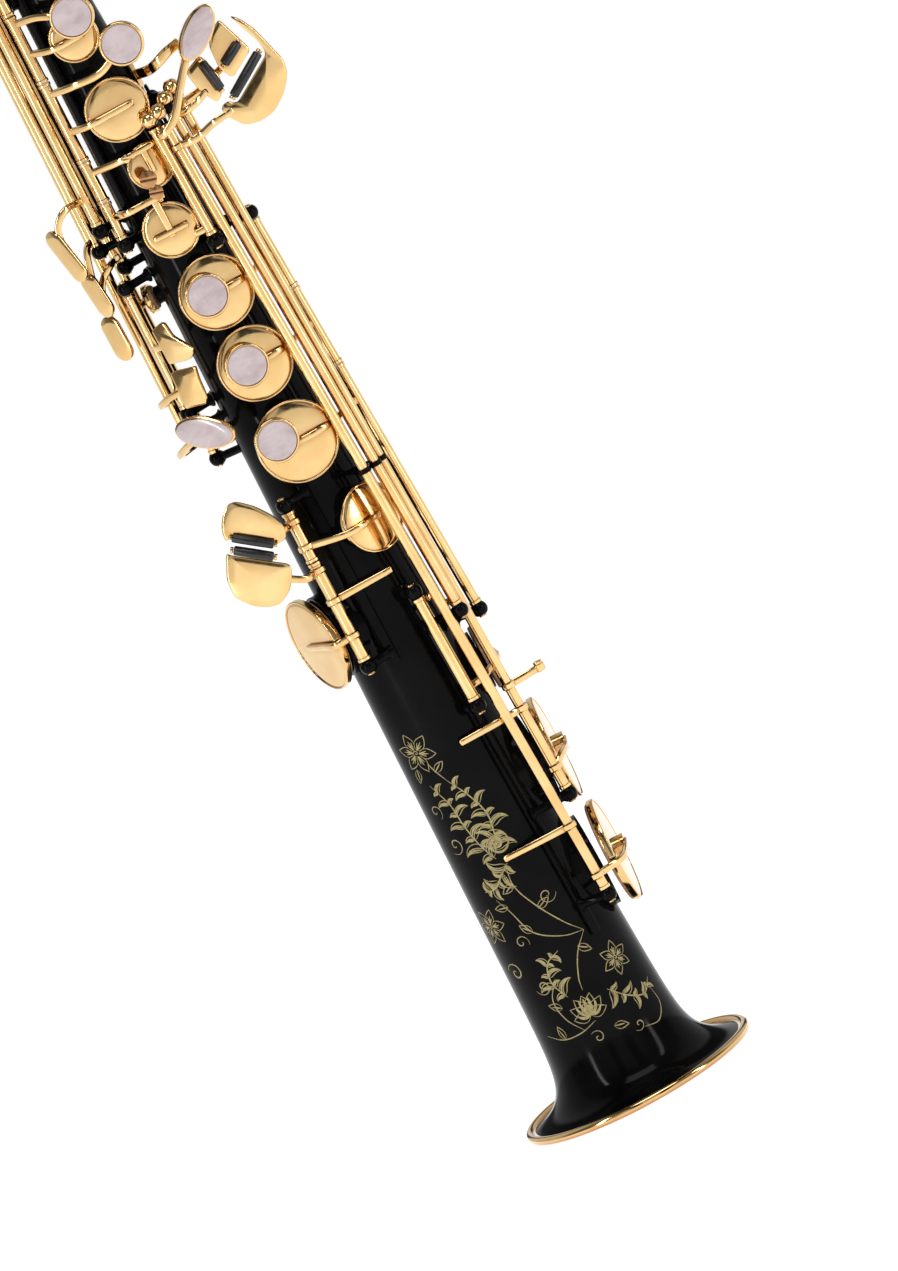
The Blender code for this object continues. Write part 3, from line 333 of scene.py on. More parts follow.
GOLD = gold_material()
SCREW = gold_material("screw_gold", (0.50, 0.27, 0.12), (0.36, 0.17, 0.07), (0.16, 0.28))
BLACK = black_lacquer()
PEARL = pearl_material()
ENGRAVING = plain("engraved_line", (0.22, 0.18, 0.07), (0.42, 0.34, 0.14), (0.4, 0.6), 900, 4, 0.3, 0.0001)
LEATHER = plain("pad_leather", (0.30, 0.15, 0.07), (0.52, 0.30, 0.16), (0.5, 0.75), 900, 5)
RUBBER = plain("hard_rubber", (0.006, 0.006, 0.006), (0.014, 0.013, 0.012), (0.1, 0.2), 500, 3, 0.05,
               coat=0.08)
ROLLER = plain("black_roller", (0.004, 0.004, 0.0045), (0.009, 0.009, 0.0095), (0.25, 0.4), 700, 3, 0.08)
CORK = plain("cork", (0.32, 0.18, 0.08), (0.72, 0.50, 0.30), (0.8, 0.95), 1300, 6, 0.7, 0.0006)
CANE = plain("cane", (0.58, 0.42, 0.20), (0.86, 0.72, 0.43), (0.45, 0.65), 420, 5, 0.25, 0.0002,
             (6, 6, 0.25))


# Shapes, as bmeshes in millimetres


def settled(shape, place=None):
    """Moves a shape to its place and turns its faces outwards."""
    shape.transform(place or Matrix.Identity(4))
    bmesh.ops.recalc_face_normals(shape, faces=shape.faces)
    if shape.calc_volume(signed=True) < 0:
        bmesh.ops.reverse_faces(shape, faces=shape.faces)
    return shape


def arc(centre, size, start, stop, steps):
    """Points along part of an ellipse, from one angle in degrees to another."""
    turns = [math.radians(start + (stop - start) * i / steps) for i in range(steps + 1)]
    return [(centre[0] + size[0] * math.cos(turn), centre[1] + size[1] * math.sin(turn)) for turn in turns]


def mirrored(half, length, *middle):
    """A profile that begins with half and ends with its mirror image, length further on."""
    return [*half, *middle, *((radius, length - height) for radius, height in reversed(half))]


def bridge(shape, low, high):
    """Faces between two closed rings. A ring of one vertex is a pole."""
    for i in range(max(len(low), len(high))):
        corners = [low[i % len(low)], low[(i + 1) % len(low)], high[(i + 1) % len(high)],
                   high[i % len(high)]]
        corners = list(dict.fromkeys(corners))
        if len(corners) > 2:
            shape.faces.new(corners)


def turned(profile, place=None, sides=48, closed=False):
    """Spins (radius, height) points about the placement's Z."""
    shape = bmesh.new()
    rings = []
    for radius, height in profile:
        if radius < 1e-6:
            rings.append([shape.verts.new((0, 0, height))])
            continue
        turns = [math.tau * i / sides for i in range(sides)]
        rings.append([shape.verts.new((radius * math.cos(t), radius * math.sin(t), height)) for t in turns])
    for low, high in zip(rings, rings[1:]):
        bridge(shape, low, high)
    if closed:
        bridge(shape, rings[-1], rings[0])
    else:
        for ring in (rings[0], rings[-1]):
            if len(ring) > 2:
                shape.faces.new(ring)
    return settled(shape, place)


def smooth_path(points, steps=7):
    """A Catmull-Rom curve through the points."""
    if len(points) < 3:
        return [points[0].lerp(points[-1], i / steps) for i in range(steps + 1)]
    ends = [points[0] * 2 - points[1], *points, points[-1] * 2 - points[-2]]
    path = []
    for a, b, c, d in zip(ends, ends[1:], ends[2:], ends[3:]):
        for i in range(steps):
            t = i / steps
            square = 2 * a - 5 * b + 4 * c - d
            cube = 3 * b - a - 3 * c + d
            path.append(0.5 * (2 * b + (c - a) * t + square * t**2 + cube * t**3))
    path.append(points[-1])
    return path


def swept(path, width, depth, side=UP, taper=(1.0, 1.0), power=0.55):
    """Sweeps a rounded bar along a path, its width along side. taper scales its two ends."""
    sides = 14
    end_length = 0.35
    end_size = 0.72
    shape = bmesh.new()
    rings = []
    travelled = 0.0
    total = sum((b - a).length for a, b in zip(path, path[1:]))
    for i, point in enumerate(path):
        if i:
            travelled += (point - path[i - 1]).length
        along = (path[min(i + 1, len(path) - 1)] - path[max(i - 1, 0)]).normalized()
        across = along.cross(side).normalized()
        wide = across.cross(along).normalized()
        size = taper[0] + (taper[1] - taper[0]) * travelled / total
        ring = []
        for k in range(sides):
            turn = math.tau * k / sides
            x = math.copysign(abs(math.cos(turn)) ** power, math.cos(turn)) * width / 2 * size
            y = math.copysign(abs(math.sin(turn)) ** power, math.sin(turn)) * depth / 2 * (0.5 + size / 2)
            ring.append(wide * x + across * y)
        rings.append((ring, point, along))
    sections = []
    rounded = ((rings[0], -end_length), *((ring, 0) for ring in rings), (rings[-1], end_length))
    for (ring, point, along), push in rounded:
        shrink = end_size if push else 1.0
        sections.append([shape.verts.new(point + offset * shrink + along * push) for offset in ring])
    for low, high in zip(sections, sections[1:]):
        bridge(shape, low, high)
    shape.faces.new(sections[0])
    shape.faces.new(sections[-1])
    return settled(shape)


def rod(start, end, radius, sides=32, collars=False, chamfer=0.25):
    """A round bar or tube between two points. Collars are the raised rings that end a hinge tube."""
    length = (end - start).length
    half = [(radius - chamfer, 0), (radius, chamfer)]
    if collars:
        ring = radius + 0.35
        half = [(radius - 0.2, 0), (ring - 0.15, 0), (ring, 0.15), (ring, 1.1), (ring - 0.15, 1.25),
                (radius, 1.35)]
    return turned(mirrored(half, length), standing(start, end - start), sides)


def sleeve(line, low, high, radius=SLEEVE):
    """The hinge tube of a key."""
    return rod(on(line, low), on(line, high), radius, collars=True)


def cup(name):
    """A stamped key cup: rolled lip, a fine groove inside it and a shallow crown."""
    radius = CUPS[name][2] / 2
    crown = min(0.55, radius * 0.035)
    lip = CUP_TOP - 0.25
    profile = [(0, CUP_FLOOR), (radius - 0.8, CUP_FLOOR), (radius - 0.8, CUP_FLOOR - 0.3),
               (radius - 0.1, CUP_FLOOR - 0.3), (radius, CUP_FLOOR), (radius, lip - 0.75)]
    profile += arc((radius - 0.45, lip - 0.55), (0.45, 0.5), 0, 180, 7)
    profile += arc((0, lip - 0.42), (radius - 1.25, 0.12 + crown), 0, 90, 8)
    profile[-1] = (0, profile[-1][1])
    return turned(profile, seat(name), 72 if radius > 8 else 48)


def pad(name):
    """The leather pad in a cup, with a seat worn by the chimney's edge."""
    radius = CUPS[name][2] / 2 - 0.95
    worn = CUPS[name][2] / 2 - CUP_OVERHANG - CHIMNEY_WALL / 2
    top = CUP_FLOOR - 0.02
    profile = [(0, GAP + 0.35), (worn - 0.9, GAP + 0.3), (worn, GAP + 0.5), (worn + 0.9, GAP + 0.28),
               (radius - 0.5, GAP + 0.3), (radius - 0.12, GAP + 0.6), (radius, GAP + 1.1), (radius, top),
               (0, top)]
    return turned(profile, seat(name), SMALL_SIDES)


def resonator(name):
    """The domed metal disc in the middle of a large pad."""
    radius = CUPS[name][2] * 0.24
    dome = arc((0, GAP + 0.3), (radius, -0.35), 0, 90, 5)[:-1]
    return turned([(radius, GAP + 0.33), *dome, (0, GAP - 0.05)], seat(name), 36)


def over(name, *steps):
    """Points over a cup. Each step is along the tangent, above the cup's top and up the body."""
    z, angle, _ = CUPS[name]
    points = []
    for aside, above, up in steps:
        points.append(around(z + up, angle, seat_radius(z) + CUP_TOP + above) + tangent(angle) * aside)
    return points


def arm(points, width=2.8, depth=1.8, taper=(1.0, 0.85), side=UP):
    return swept(smooth_path([Vector(point) for point in points]), width, depth, side, taper)


def link(points, width=2.8, depth=1.8, end=1.0):
    """An arm that keeps its width, such as the one to a touch."""
    return arm(points, width, depth, (1.0, end))


def cup_arm(line, name, z, near, reach):
    """The arm from the hinge over the cup, which it crosses from near to reach."""
    return arm([on(line, z), *over(name, (near, ARM_LIFT, 0), (reach, 0.75, 0))])


def saddle(line, *heights, radius=SLEEVE):
    """The rings by which arms are brazed around their tube."""
    half = UP * 1.3
    return [rod(on(line, z - half.z), on(line, z + half.z), radius + 0.75, chamfer=0.5) for z in heights]


def bezel(centre, radius=BEZEL_RADIUS):
    """The thin cup that holds a finger pearl."""
    profile = [(radius - 1.2, 0), (radius - 0.35, 0.1), (radius, 0.5), (radius, 2.1), (radius - 0.15, 2.35),
               (radius - 0.5, 2.55), (radius - 0.85, 2.5), (radius - 0.95, 2.2), (radius - 0.97, 1.9),
               (0, 1.9)]
    return turned(profile, facing(centre, FRONT), SMALL_SIDES)


def pearl(centre, radius=BEZEL_RADIUS):
    """A pearl with a rounded edge and a slightly hollow top, seated in its holder."""
    inner = radius - 1.08
    profile = [(0, 1.95), (inner, 1.95), (inner, 2.3), (inner - 0.25, 2.55), (inner - 0.8, 2.6),
               (inner * 0.6, 2.45), (inner * 0.3, 2.35), (0, 2.32)]
    return turned(profile, facing(centre, FRONT), SMALL_SIDES)


def rounded_outline(corners, radius, steps=4):
    """A closed outline with each corner replaced by a short curve."""
    count = len(corners)
    points = []
    for i in range(count):
        before, here, after = (Vector(corners[k % count]) for k in (i - 1, i, i + 1))
        cut_in = min(radius, (before - here).length * 0.45)
        cut_out = min(radius, (after - here).length * 0.45)
        a = here + (before - here).normalized() * cut_in
        b = here + (after - here).normalized() * cut_out
        for k in range(steps + 1):
            t = k / steps
            points.append((1 - t) ** 2 * a + 2 * (1 - t) * t * here + t**2 * b)
    return points


def plate(outline, place, depth=TOUCH_DEPTH, crown=0.0, edge=0.5):
    """A touch plate: an outline with rolled edges. Only a convex outline can have a crowned face."""
    shape = bmesh.new()
    points = [Vector(p) for p in outline]
    count = len(points)
    area = sum(points[i - 1].x * points[i].y - points[i].x * points[i - 1].y for i in range(count))
    inward = []
    for i in range(count):
        along = points[(i + 1) % count] - points[i - 1]
        inward.append(Vector((-along.y, along.x)).normalized() * math.copysign(1, area))
    step = edge * 0.3
    levels = ((edge, 0), (step, step), (0, edge), (0, depth - edge), (step, depth - step), (edge, depth))
    rings = [[shape.verts.new((*(point + way * inset), height)) for point, way in zip(points, inward)]
             for inset, height in levels]
    if crown:
        middle = sum(points, Vector((0, 0))) / count
        reach = max((point - middle).length for point in points)
        for scale in (0.75, 0.45):
            inner = [middle + (point - middle) * scale * (1 - edge / reach) for point in points]
            rings.append([shape.verts.new((*point, depth + crown * (1 - scale**2))) for point in inner])
        bridge(shape, rings[-1], [shape.verts.new((*middle, depth + crown))])
    else:
        shape.faces.new(rings[-1])
    for low, high in zip(rings, rings[1:]):
        bridge(shape, low, high)
    shape.faces.new(rings[0])
    return settled(shape, place)


def oval(length, width, steps=40):
    """Outline of an ellipse, its length along Y."""
    return arc((0, 0), (width / 2, length / 2), 0, 360, steps)[:-1]


def strip(length, width, steps=12):
    """Outline of a strip with round ends, along Y."""
    radius = width / 2
    straight = length / 2 - radius
    return (arc((0, straight), (radius, radius), 0, 180, steps)
            + arc((0, -straight), (radius, radius), 180, 360, steps))


def slotted(centre, out, radius=1.5, height=0.8):
    """A screw head with a slot across it."""
    place = facing(centre, out, Vector((0.3, 0.2, 1)))
    half = arc((0, 0.2), (radius, radius * 0.94), 0, 180, 10)
    other = [(-x, -y) for x, y in half]
    base = turned([(radius, -0.6), (radius, height * 0.4)], place, 24)
    lift = place @ Matrix.Translation((0, 0, height * 0.35))
    return [base, *(plate(outline, lift, height * 0.65, edge=0.12) for outline in (half, other))]


def ball(centre, axis, cut=BALL_CUT):
    """A post's round head, flattened where the hinge enters it."""
    reach = math.degrees(math.asin(cut))
    flat = BALL_RADIUS * cut
    profile = arc((0, 0), (BALL_RADIUS, BALL_RADIUS), -reach, reach, 16)
    inner = profile[0][0] - 0.5
    return turned([(inner, -flat - 0.05), *profile, (inner, flat + 0.05)], standing(centre, axis), 32)


def roller_shape(start, end, radius=1.8):
    half = [(radius * 0.55, 0), (radius * 0.85, 0.12), (radius - 0.04, 0.5)]
    length = (end - start).length
    return turned(mirrored(half, length, (radius + 0.03, length / 2)), standing(start, end - start), 28)


def roller_pins(start, end, radius=1.7):
    """The two ears of a touch that hold a roller's pin."""
    along = (end - start).normalized()
    return [rod(point - along * side * 0.15, point - along * side * 1.3, radius * 0.72, 20)
            for point, side in ((start, 1), (end, -1))]


# Pieces


def as_object(name, shapes):
    """Several shapes as one object in the scene, in metres."""
    whole = bmesh.new()
    for shape in shapes:
        part = bpy.data.meshes.new("part")
        shape.to_mesh(part)
        shape.free()
        whole.from_mesh(part)
        bpy.data.meshes.remove(part)
    whole.transform(Matrix.Scale(MM, 4))
    mesh = bpy.data.meshes.new(name)
    whole.to_mesh(mesh)
    whole.free()
    obj = bpy.data.objects.new(name, mesh)
    bpy.context.scene.collection.objects.link(obj)
    return obj


def shade(mesh, angle=SHARP_ANGLE):
    mesh.shade_smooth()
    mesh.set_sharp_from_angle(angle=math.radians(angle))


def add(name, shapes, material, body="root", nodes=(), angle=SHARP_ANGLE):
    """One piece from several shapes, riding on a body and standing for the nodes it replaces."""
    obj = as_object(name, shapes)
    obj.data.materials.append(material)
    shade(obj.data, angle)
    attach(obj, body)
    if nodes:
        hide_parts(*nodes)
    return obj


def cut(obj, shapes):
    """Cuts shapes out of a piece, one after another, and keeps the result as its mesh."""
    for shape in shapes:
        cutter = as_object("cutter", [shape])
        modifier = obj.modifiers.new("cut", "BOOLEAN")
        modifier.operation = "DIFFERENCE"
        modifier.solver = "MANIFOLD"
        modifier.object = cutter
        graph = bpy.context.evaluated_depsgraph_get()
        result = bpy.data.meshes.new_from_object(obj.evaluated_get(graph))
        obj.modifiers.remove(modifier)
        obj.data = result
        bpy.data.objects.remove(cutter)
    shade(obj.data)


def opened(name, line, shapes, lift):
    """Turns shapes about their hinge so far that the middle of this key's cup rises by lift."""
    z, angle, _ = CUPS[name]
    lever = axis_of(line).cross(around(z, angle, seat_radius(z)) - on(line, z)).dot(outward(angle))
    pivot = Matrix.Translation(line[0])
    spin = pivot @ Matrix.Rotation(lift / lever, 4, line[1] - line[0]) @ pivot.inverted()
    for shape in shapes:
        shape.transform(spin)
    return shapes


def lever_key(name, shapes, pearls=()):
    """The metal and the pearl of a key."""
    add(name + "_metal", shapes, GOLD, name, [name])
    if pearls:
        add(name + "_pearl", pearls, PEARL, name)


def cup_key(name, line, shapes, lift=0.0, at_rest=(), pearls=()):
    """A key with a cup, which stands open by lift. The shapes in at_rest are drawn as they lie then."""
    body = name + "_key"
    metal = opened(name, line, [cup(name), *shapes], lift)
    lever_key(body, [*metal, *at_rest], opened(name, line, list(pearls), lift))
    nodes = [name + "_pad"] if name + "_pad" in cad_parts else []
    add(name + "_leather", opened(name, line, [pad(name)], lift), LEATHER, body, nodes)
    if CUPS[name][2] > RESONATOR_FROM:
        add(name + "_resonator", opened(name, line, [resonator(name)], lift), GOLD, body)


# The body


def wall(radius_at, heights, sides):
    """A tube's wall, whose outer radius depends on the height."""
    outer = [(radius_at(z), z) for z in heights]
    inner = [(radius - WALL, z) for radius, z in reversed(outer)]
    return turned(outer + inner, sides=sides, closed=True)


def make_bell():
    """The bell, with its rings closest together at the rim, and the rolled rim."""
    first = RIM_RADIUS + 0.3
    step = 0.12
    growth = 1.16
    heights = [first + step * growth**i for i in range(42)]
    heights = [z for z in heights if z < BELL_TOP - 1] + [BELL_TOP]
    add("bell_skin", [wall(bell_radius, heights, BELL_SIDES)], BLACK, nodes=["bell"])
    bead = arc((RIM_CENTRE, RIM_RADIUS), (RIM_RADIUS, RIM_RADIUS), 0, 360, 24)[:-1]
    add("bell_bead", [turned(bead, sides=BELL_SIDES, closed=True)], GOLD, nodes=["bell_rim"])


def make_body_tube():
    """The conical tube, pierced at every tone hole, and the chimney drawn up around each hole."""
    steps = 12
    heights = [BELL_TOP + (BODY_TOP - BELL_TOP) * i / steps for i in range(steps + 1)]
    tube = add("body_skin", [wall(body_radius, heights, TUBE_SIDES)], BLACK, nodes=["body_tube"])
    holes = []
    chimneys = []
    for name, (z, angle, diameter) in CUPS.items():
        outer = diameter / 2 - CUP_OVERHANG
        inner = outer - CHIMNEY_WALL
        tube_radius = body_radius(z)
        deep = tube_radius + 5
        hole = bmesh.new()
        bmesh.ops.create_cone(hole, cap_ends=True, segments=64, radius1=outer - 0.6, radius2=outer - 0.6,
                              depth=deep, matrix=standing(around(z, angle, deep / 2 + 1), outward(angle)))
        holes.append(hole)
        drop = tube_radius - math.sqrt(max(tube_radius**2 - (outer + 1.4) ** 2, 0.5)) + CHIMNEY_HEIGHT
        profile = [(inner, -drop), (outer + 0.1, -drop), (outer, -0.45), (outer + 0.12, -0.3),
                   (outer + 0.05, -0.05), (outer - 0.3, 0), (inner + 0.3, 0), (inner, -0.3)]
        chimneys.append(turned(profile, seat(name), 64, closed=True))
    cut(tube, holes)
    add("chimneys", chimneys, BLACK)


def knurl(radius, ridge, low, pitch, count):
    """The ridged grip of a thumb screw, as profile points."""
    return [(radius + ridge * (i % 2), low + pitch * i) for i in range(count)]


def make_top():
    """Receiver with its clamp, neck and cork."""
    low = BODY_TOP + 0.3
    radius = body_radius(BODY_TOP)
    half = [(radius + 0.2, 0), (radius + 3.0, 0), (radius + 3.2, 0.3), (radius + 3.2, 3.7),
            (radius + 3.0, 4.1), (radius + 2.4, 5)]
    collar = turned(mirrored(half, 20), Matrix.Translation(UP * low), WIDE_SIDES, closed=True)
    centre = Vector((0, radius + 5.4, low + 10))
    lugs = [rod(centre + RIGHT * 0.35, centre + RIGHT * 5, 3.4),
            rod(centre - RIGHT * 5, centre - RIGHT * 0.35, 3.4)]
    add("receiver_collar", [collar, *lugs], GOLD, nodes=["neck_receiver"])
    grip = [(3.4, 0), *knurl(4.0, 0.25, 0.5, 0.3, 18), (3.4, 6.4)]
    shank = rod(centre - RIGHT * 6.6, centre + RIGHT * 6, 1.25)
    knob = turned(grip, facing(centre + RIGHT * 5.6, RIGHT), 40)
    add("neck_screw_knob", [knob, shank], GOLD, "neck_screw", ["neck_screw"])

    base = low + 0.3
    tube = [(radius - 0.1, base), (radius - 0.1, base + 25.9), (radius + 1.0, base + 26),
            (radius + 1.2, base + 26.4), (radius + 1.2, base + 28.6), (radius + 1.0, base + 29),
            (7.9, base + 30), (7.2, base + 31.2), (5.6, NECK_TOP), (4.5, NECK_TOP),
            (radius - WALL - 0.4, base)]
    add("neck_tube", [turned(tube, sides=64, closed=True)], GOLD, nodes=["neck"])
    cork = [(7.75, NECK_TOP - 32), (7.8, NECK_TOP - 31), (7.45, NECK_TOP - 1), (7.2, NECK_TOP - 0.1),
            (5.9, NECK_TOP), (6.95, NECK_TOP - 32)]
    add("neck_cork_sleeve", [turned(cork, sides=SMALL_SIDES, closed=True)], CORK, nodes=["neck_cork"])


def make_mouthpiece():
    """Mouthpiece with a slanting beak behind and a flat table in front, its reed and its ligature."""
    low = MOUTHPIECE_LOW
    top = MOUTHPIECE_TOP
    body = "mouthpiece"
    outer = [(8.1, low), (11.6, low), (12.0, low + 0.4), (12.0, low + 3.8), (11.7, low + 4.5),
             (11.3, low + 6), (11.25, low + 12), (10.9, top - 36), (9.6, top - 14), (8.2, top)]
    inner = [(2.6, top), (3.4, top - 20), (4.4, NECK_TOP + 2), (8.1, NECK_TOP + 1)]
    shell = turned(outer + inner, sides=WIDE_SIDES, closed=True)
    blocks = []
    for size, lean, centre in (((30, 16, 60), 16, (0, 9.6, top)), ((30, 10, 62), 0, (0, -13.2, top - 31))):
        block = bmesh.new()
        bmesh.ops.create_cube(block, size=1.0)
        turn = Matrix.Rotation(math.radians(lean), 4, "X")
        block.transform(Matrix.Translation(centre) @ turn @ Matrix.Diagonal((*size, 1)))
        blocks.append(block)
    cut(add("mouthpiece_shell", [shell], RUBBER, body, ["mouthpiece"]), blocks)

    side = [(5.2, top - 60), (5.7, top - 20), (5.9, top - 4), (5.2, top - 1.8), (3.6, top - 0.8)]
    reed = [*side, (0, top - 0.5), *((-x, z) for x, z in reversed(side))]
    place = Matrix.Translation((0, -8.5, 0)) @ Matrix.Rotation(math.radians(90), 4, "X")
    add("reed_blade", [plate(reed, place, 1.4, 0.15, 0.25)], CANE, body, ["reed"])

    low += 10
    high = low + 19
    band = [(11.75, low), (12.45, low + 0.1), (12.75, low + 0.8), (12.5, low + 1.6), (12.45, high - 1.6),
            (12.75, high - 0.8), (12.45, high - 0.1), (11.75, high)]
    screws = (("ligature_screw_lower", low + 5), ("ligature_screw_upper", high - 5))
    lugs = [rod(Vector((-6, -13.6, z)), Vector((6, -13.6, z)), 2.2) for _, z in screws]
    add("ligature_band", [turned(band, sides=WIDE_SIDES, closed=True), *lugs], GOLD, body, ["ligature"])
    for name, z in screws:
        profile = [(1.3, 0), (1.3, 1.8), (2.0, 2.2), *knurl(2.5, -0.2, 2.5, 0.25, 15), (1.8, 6.6)]
        head = turned(profile, facing(Vector((6.3, -13.6, z)), RIGHT), 40)
        add(name + "_head", [head], GOLD, name, [name])


def foot_plate(z, length):
    """A plate that lies on the back of the tube."""
    path = [around(z + end * length / 2, 180, body_radius(z) + 1.6) for end in (-1, 0, 1)]
    return swept(smooth_path(path, 4), 9, 1.8, RIGHT, power=0.3)


def foot_screws(z, length):
    """The two screws that hold such a plate."""
    heads = []
    for end in (-0.36, 0.36):
        heads += slotted(around(z + end * length, 180, body_radius(z) + 2.5), outward(180), 1.5, 0.6)
    return heads


def make_back_fittings():
    """Thumb hook, thumb rest and strap ring behind the body."""
    z = 330
    back = body_radius(z) + 1.6
    path = [Vector((0, back, z)), Vector((2, back + 12, z)), Vector((4, back + 17, z - 3)),
            Vector((8, back + 22, z - 11)), Vector((10, back + 23, z - 18))]
    hook = swept(smooth_path(path), 9, 2.4, Vector((1, 0, 0.2)), (1.0, 0.9), power=0.45)
    add("thumb_hook_metal", [foot_plate(z, 24), *foot_screws(z, 24), hook], GOLD, nodes=["thumb_hook"])

    z = 448
    rest = [(8.2, -0.6), (8.5, 0.4), (8.5, 2.6), (8.1, 3.4), (7.0, 4.0), (5.0, 4.3), (0, 4.35)]
    button = turned(rest, facing(over_tube(z, 180, 2.0), outward(180)), SMALL_SIDES)
    add("thumb_rest_button", [button, foot_plate(z, 20)], RUBBER, nodes=["thumb_rest"])

    z = 392
    place = Matrix.Translation(over_tube(z, 180, 8.2)) @ Matrix.Rotation(math.radians(90), 4, "Y")
    loop = turned(arc((5.2, 0), (1.25, 1.25), 0, 360, 16)[:-1], place, closed=True)
    add("strap_ring_loop", [foot_plate(z, 18), *foot_screws(z, 18), loop], GOLD, nodes=["strap_ring"])


# Keys of the lower half


def touch_plane(lean, y):
    """The plane of a little finger's touches. Its X and Y are the scene's X and Z. Its Z leaves it."""
    return Matrix(((1, 0, 0, 0), (lean, 0, 1, y), (0, 1, 0, 0), (0, 0, 0, 1)))


TABLE = touch_plane(0.24, -33.5)
PINKY_PLANE = touch_plane(-0.2, -36.5)


def on_table(x, z, above):
    """A point by the left little finger's touches; above counts towards the finger."""
    return TABLE @ Vector((x, z, -above))


def on_pinky(x, z, above):
    """A point by the right little finger's touches."""
    return PINKY_PLANE @ Vector((x, z, -above))


def little_touch(outline, place, crown=0.25):
    """A flat touch on one of the little-finger planes."""
    flip = Matrix.Translation((0, 0, TOUCH_DEPTH)) @ Matrix.Diagonal((1, 1, -1, 1))
    return plate(rounded_outline(outline, 2.0), place @ flip, TOUCH_DEPTH, crown)


def make_low_b_flat():
    """The key of the lowest hole. Its touch wraps the table's foot and outer side."""
    line = LOW_B_FLAT_LINE
    opens = [arm([on(line, 80.3), *over("low_b_flat", (-21.5, 1.2, 0), (-10, 3, 0), (6, 3, 0))]),
             rod(*over("low_b_flat", (3, -0.4, 0), (3, 3.2, 0)), 3.6, 40)]
    outline = ((34.8, 391.5), (35, 388), (39.5, 381.5), (45.5, 379.7), (51.5, 380.5), (57.5, 384.5),
               (62, 390), (63, 395), (59, 410), (56, 416), (53, 419), (58, 405), (58.5, 400), (40.8, 389.8),
               (38, 392.5))
    ways = [(22, -31.5, 387), on_table(30, 388, -0.8), on_table(38, 388.5, -0.6)]
    start, end = on_table(40.8, 392.8, -0.6), on_table(56.0, 401.8, -0.6)
    at_rest = [sleeve(line, 74.6, 396.6), little_touch(outline, TABLE, 0),
               link([on(line, 387), *ways], 3.0, 1.7, 0.9),
               arm([on(line, 101), (10, -27, 101), (-4, -25.2, 101)]), *roller_pins(start, end),
               *saddle(line, 80.3, 101, 387)]
    cup_key("low_b_flat", line, opens, 4.0, at_rest)
    roller = "low_b_flat_roller"
    add(roller + "_barrel", [roller_shape(start, end)], ROLLER, roller, [roller])


def make_low_b():
    """The key of the next hole, with the stop arm and its adjusting screw."""
    line = LOW_B_LINE
    opens = [arm([on(line, 121), *over("low_b", (-17.5, 1.2, 0), (-8, 3, 0), (6, 3, 0))]),
             rod(*over("low_b", (3, -0.4, 0), (3, 3.2, 0)), 3.6, 40)]
    outline = ((41.5, 413), (44, 416.5), (48, 419), (49.4, 419.3), (54.4, 404.3), (43.6, 398.4), (41.0, 404))
    stop = Vector((40, -17.4, 155.5))
    stop_screw = [rod(stop - UP * 1.4, stop + UP * 1.4, 2.0), *slotted(stop + UP * 1.6, UP, 1.7)]
    start, end = on_table(43.4, 404.6, 1.1), on_table(51.4, 408.8, 1.1)
    at_rest = [sleeve(line, 112.6, 400.6), little_touch(outline, TABLE),
               arm([on(line, 398.8), (31, -18, 399.8), (40, -18, 402.5), on_table(46.5, 405, -1.0)], 3.0),
               arm([on(line, 146), (20, -23, 146), (2, -24.4, 146)]),
               link([on(line, stop.z), (34, -19, stop.z), stop]), *stop_screw,
               *roller_pins(start, end, 1.2), *saddle(line, 121, 146, stop.z, 398.8)]
    cup_key("low_b", line, opens, 3.8, at_rest)
    add("low_b_roller", [roller_shape(start, end, 1.7)], ROLLER, "low_b_key")


def make_low_c_sharp():
    """The key with the cup, and the lever that works it."""
    line = C_SHARP_CUP_LINE
    ways = [(20.5, -20.6, 163), (26.0, -13.6, 164.5), *over("low_c_sharp", (-9, 0.9, 0), (3, 0.75, 0))]
    tail = arm([on(line, 198.5), (17.5, -22.6, 198.5)])
    cup_key("low_c_sharp", line, [sleeve(line, 158, 200.4, WIDE_SLEEVE), arm([on(line, 163), *ways]), tail])
    line = LOW_C_SHARP_LINE
    outline = ((29.6, 409), (37.2, 412), (40.2, 401.5), (37.4, 395.2), (34.5, 393.6), (31, 401))
    start, end = on_table(38.2, 397.6, 1.1), on_table(36.6, 409.5, 1.1)
    shapes = [sleeve(line, 191.6, 398.4), little_touch(outline, TABLE), *roller_pins(start, end, 1.2),
              arm([on(line, 396.5), (26, -29, 397.5), on_table(33.5, 399.5, -0.8)], 3.0),
              arm([on(line, 193.6), (19.2, -22.4, 193.6)]), *saddle(line, 396)]
    lever_key("low_c_sharp_lever", shapes)
    add("low_c_sharp_roller", [roller_shape(start, end, 1.7)], ROLLER, "low_c_sharp_lever")


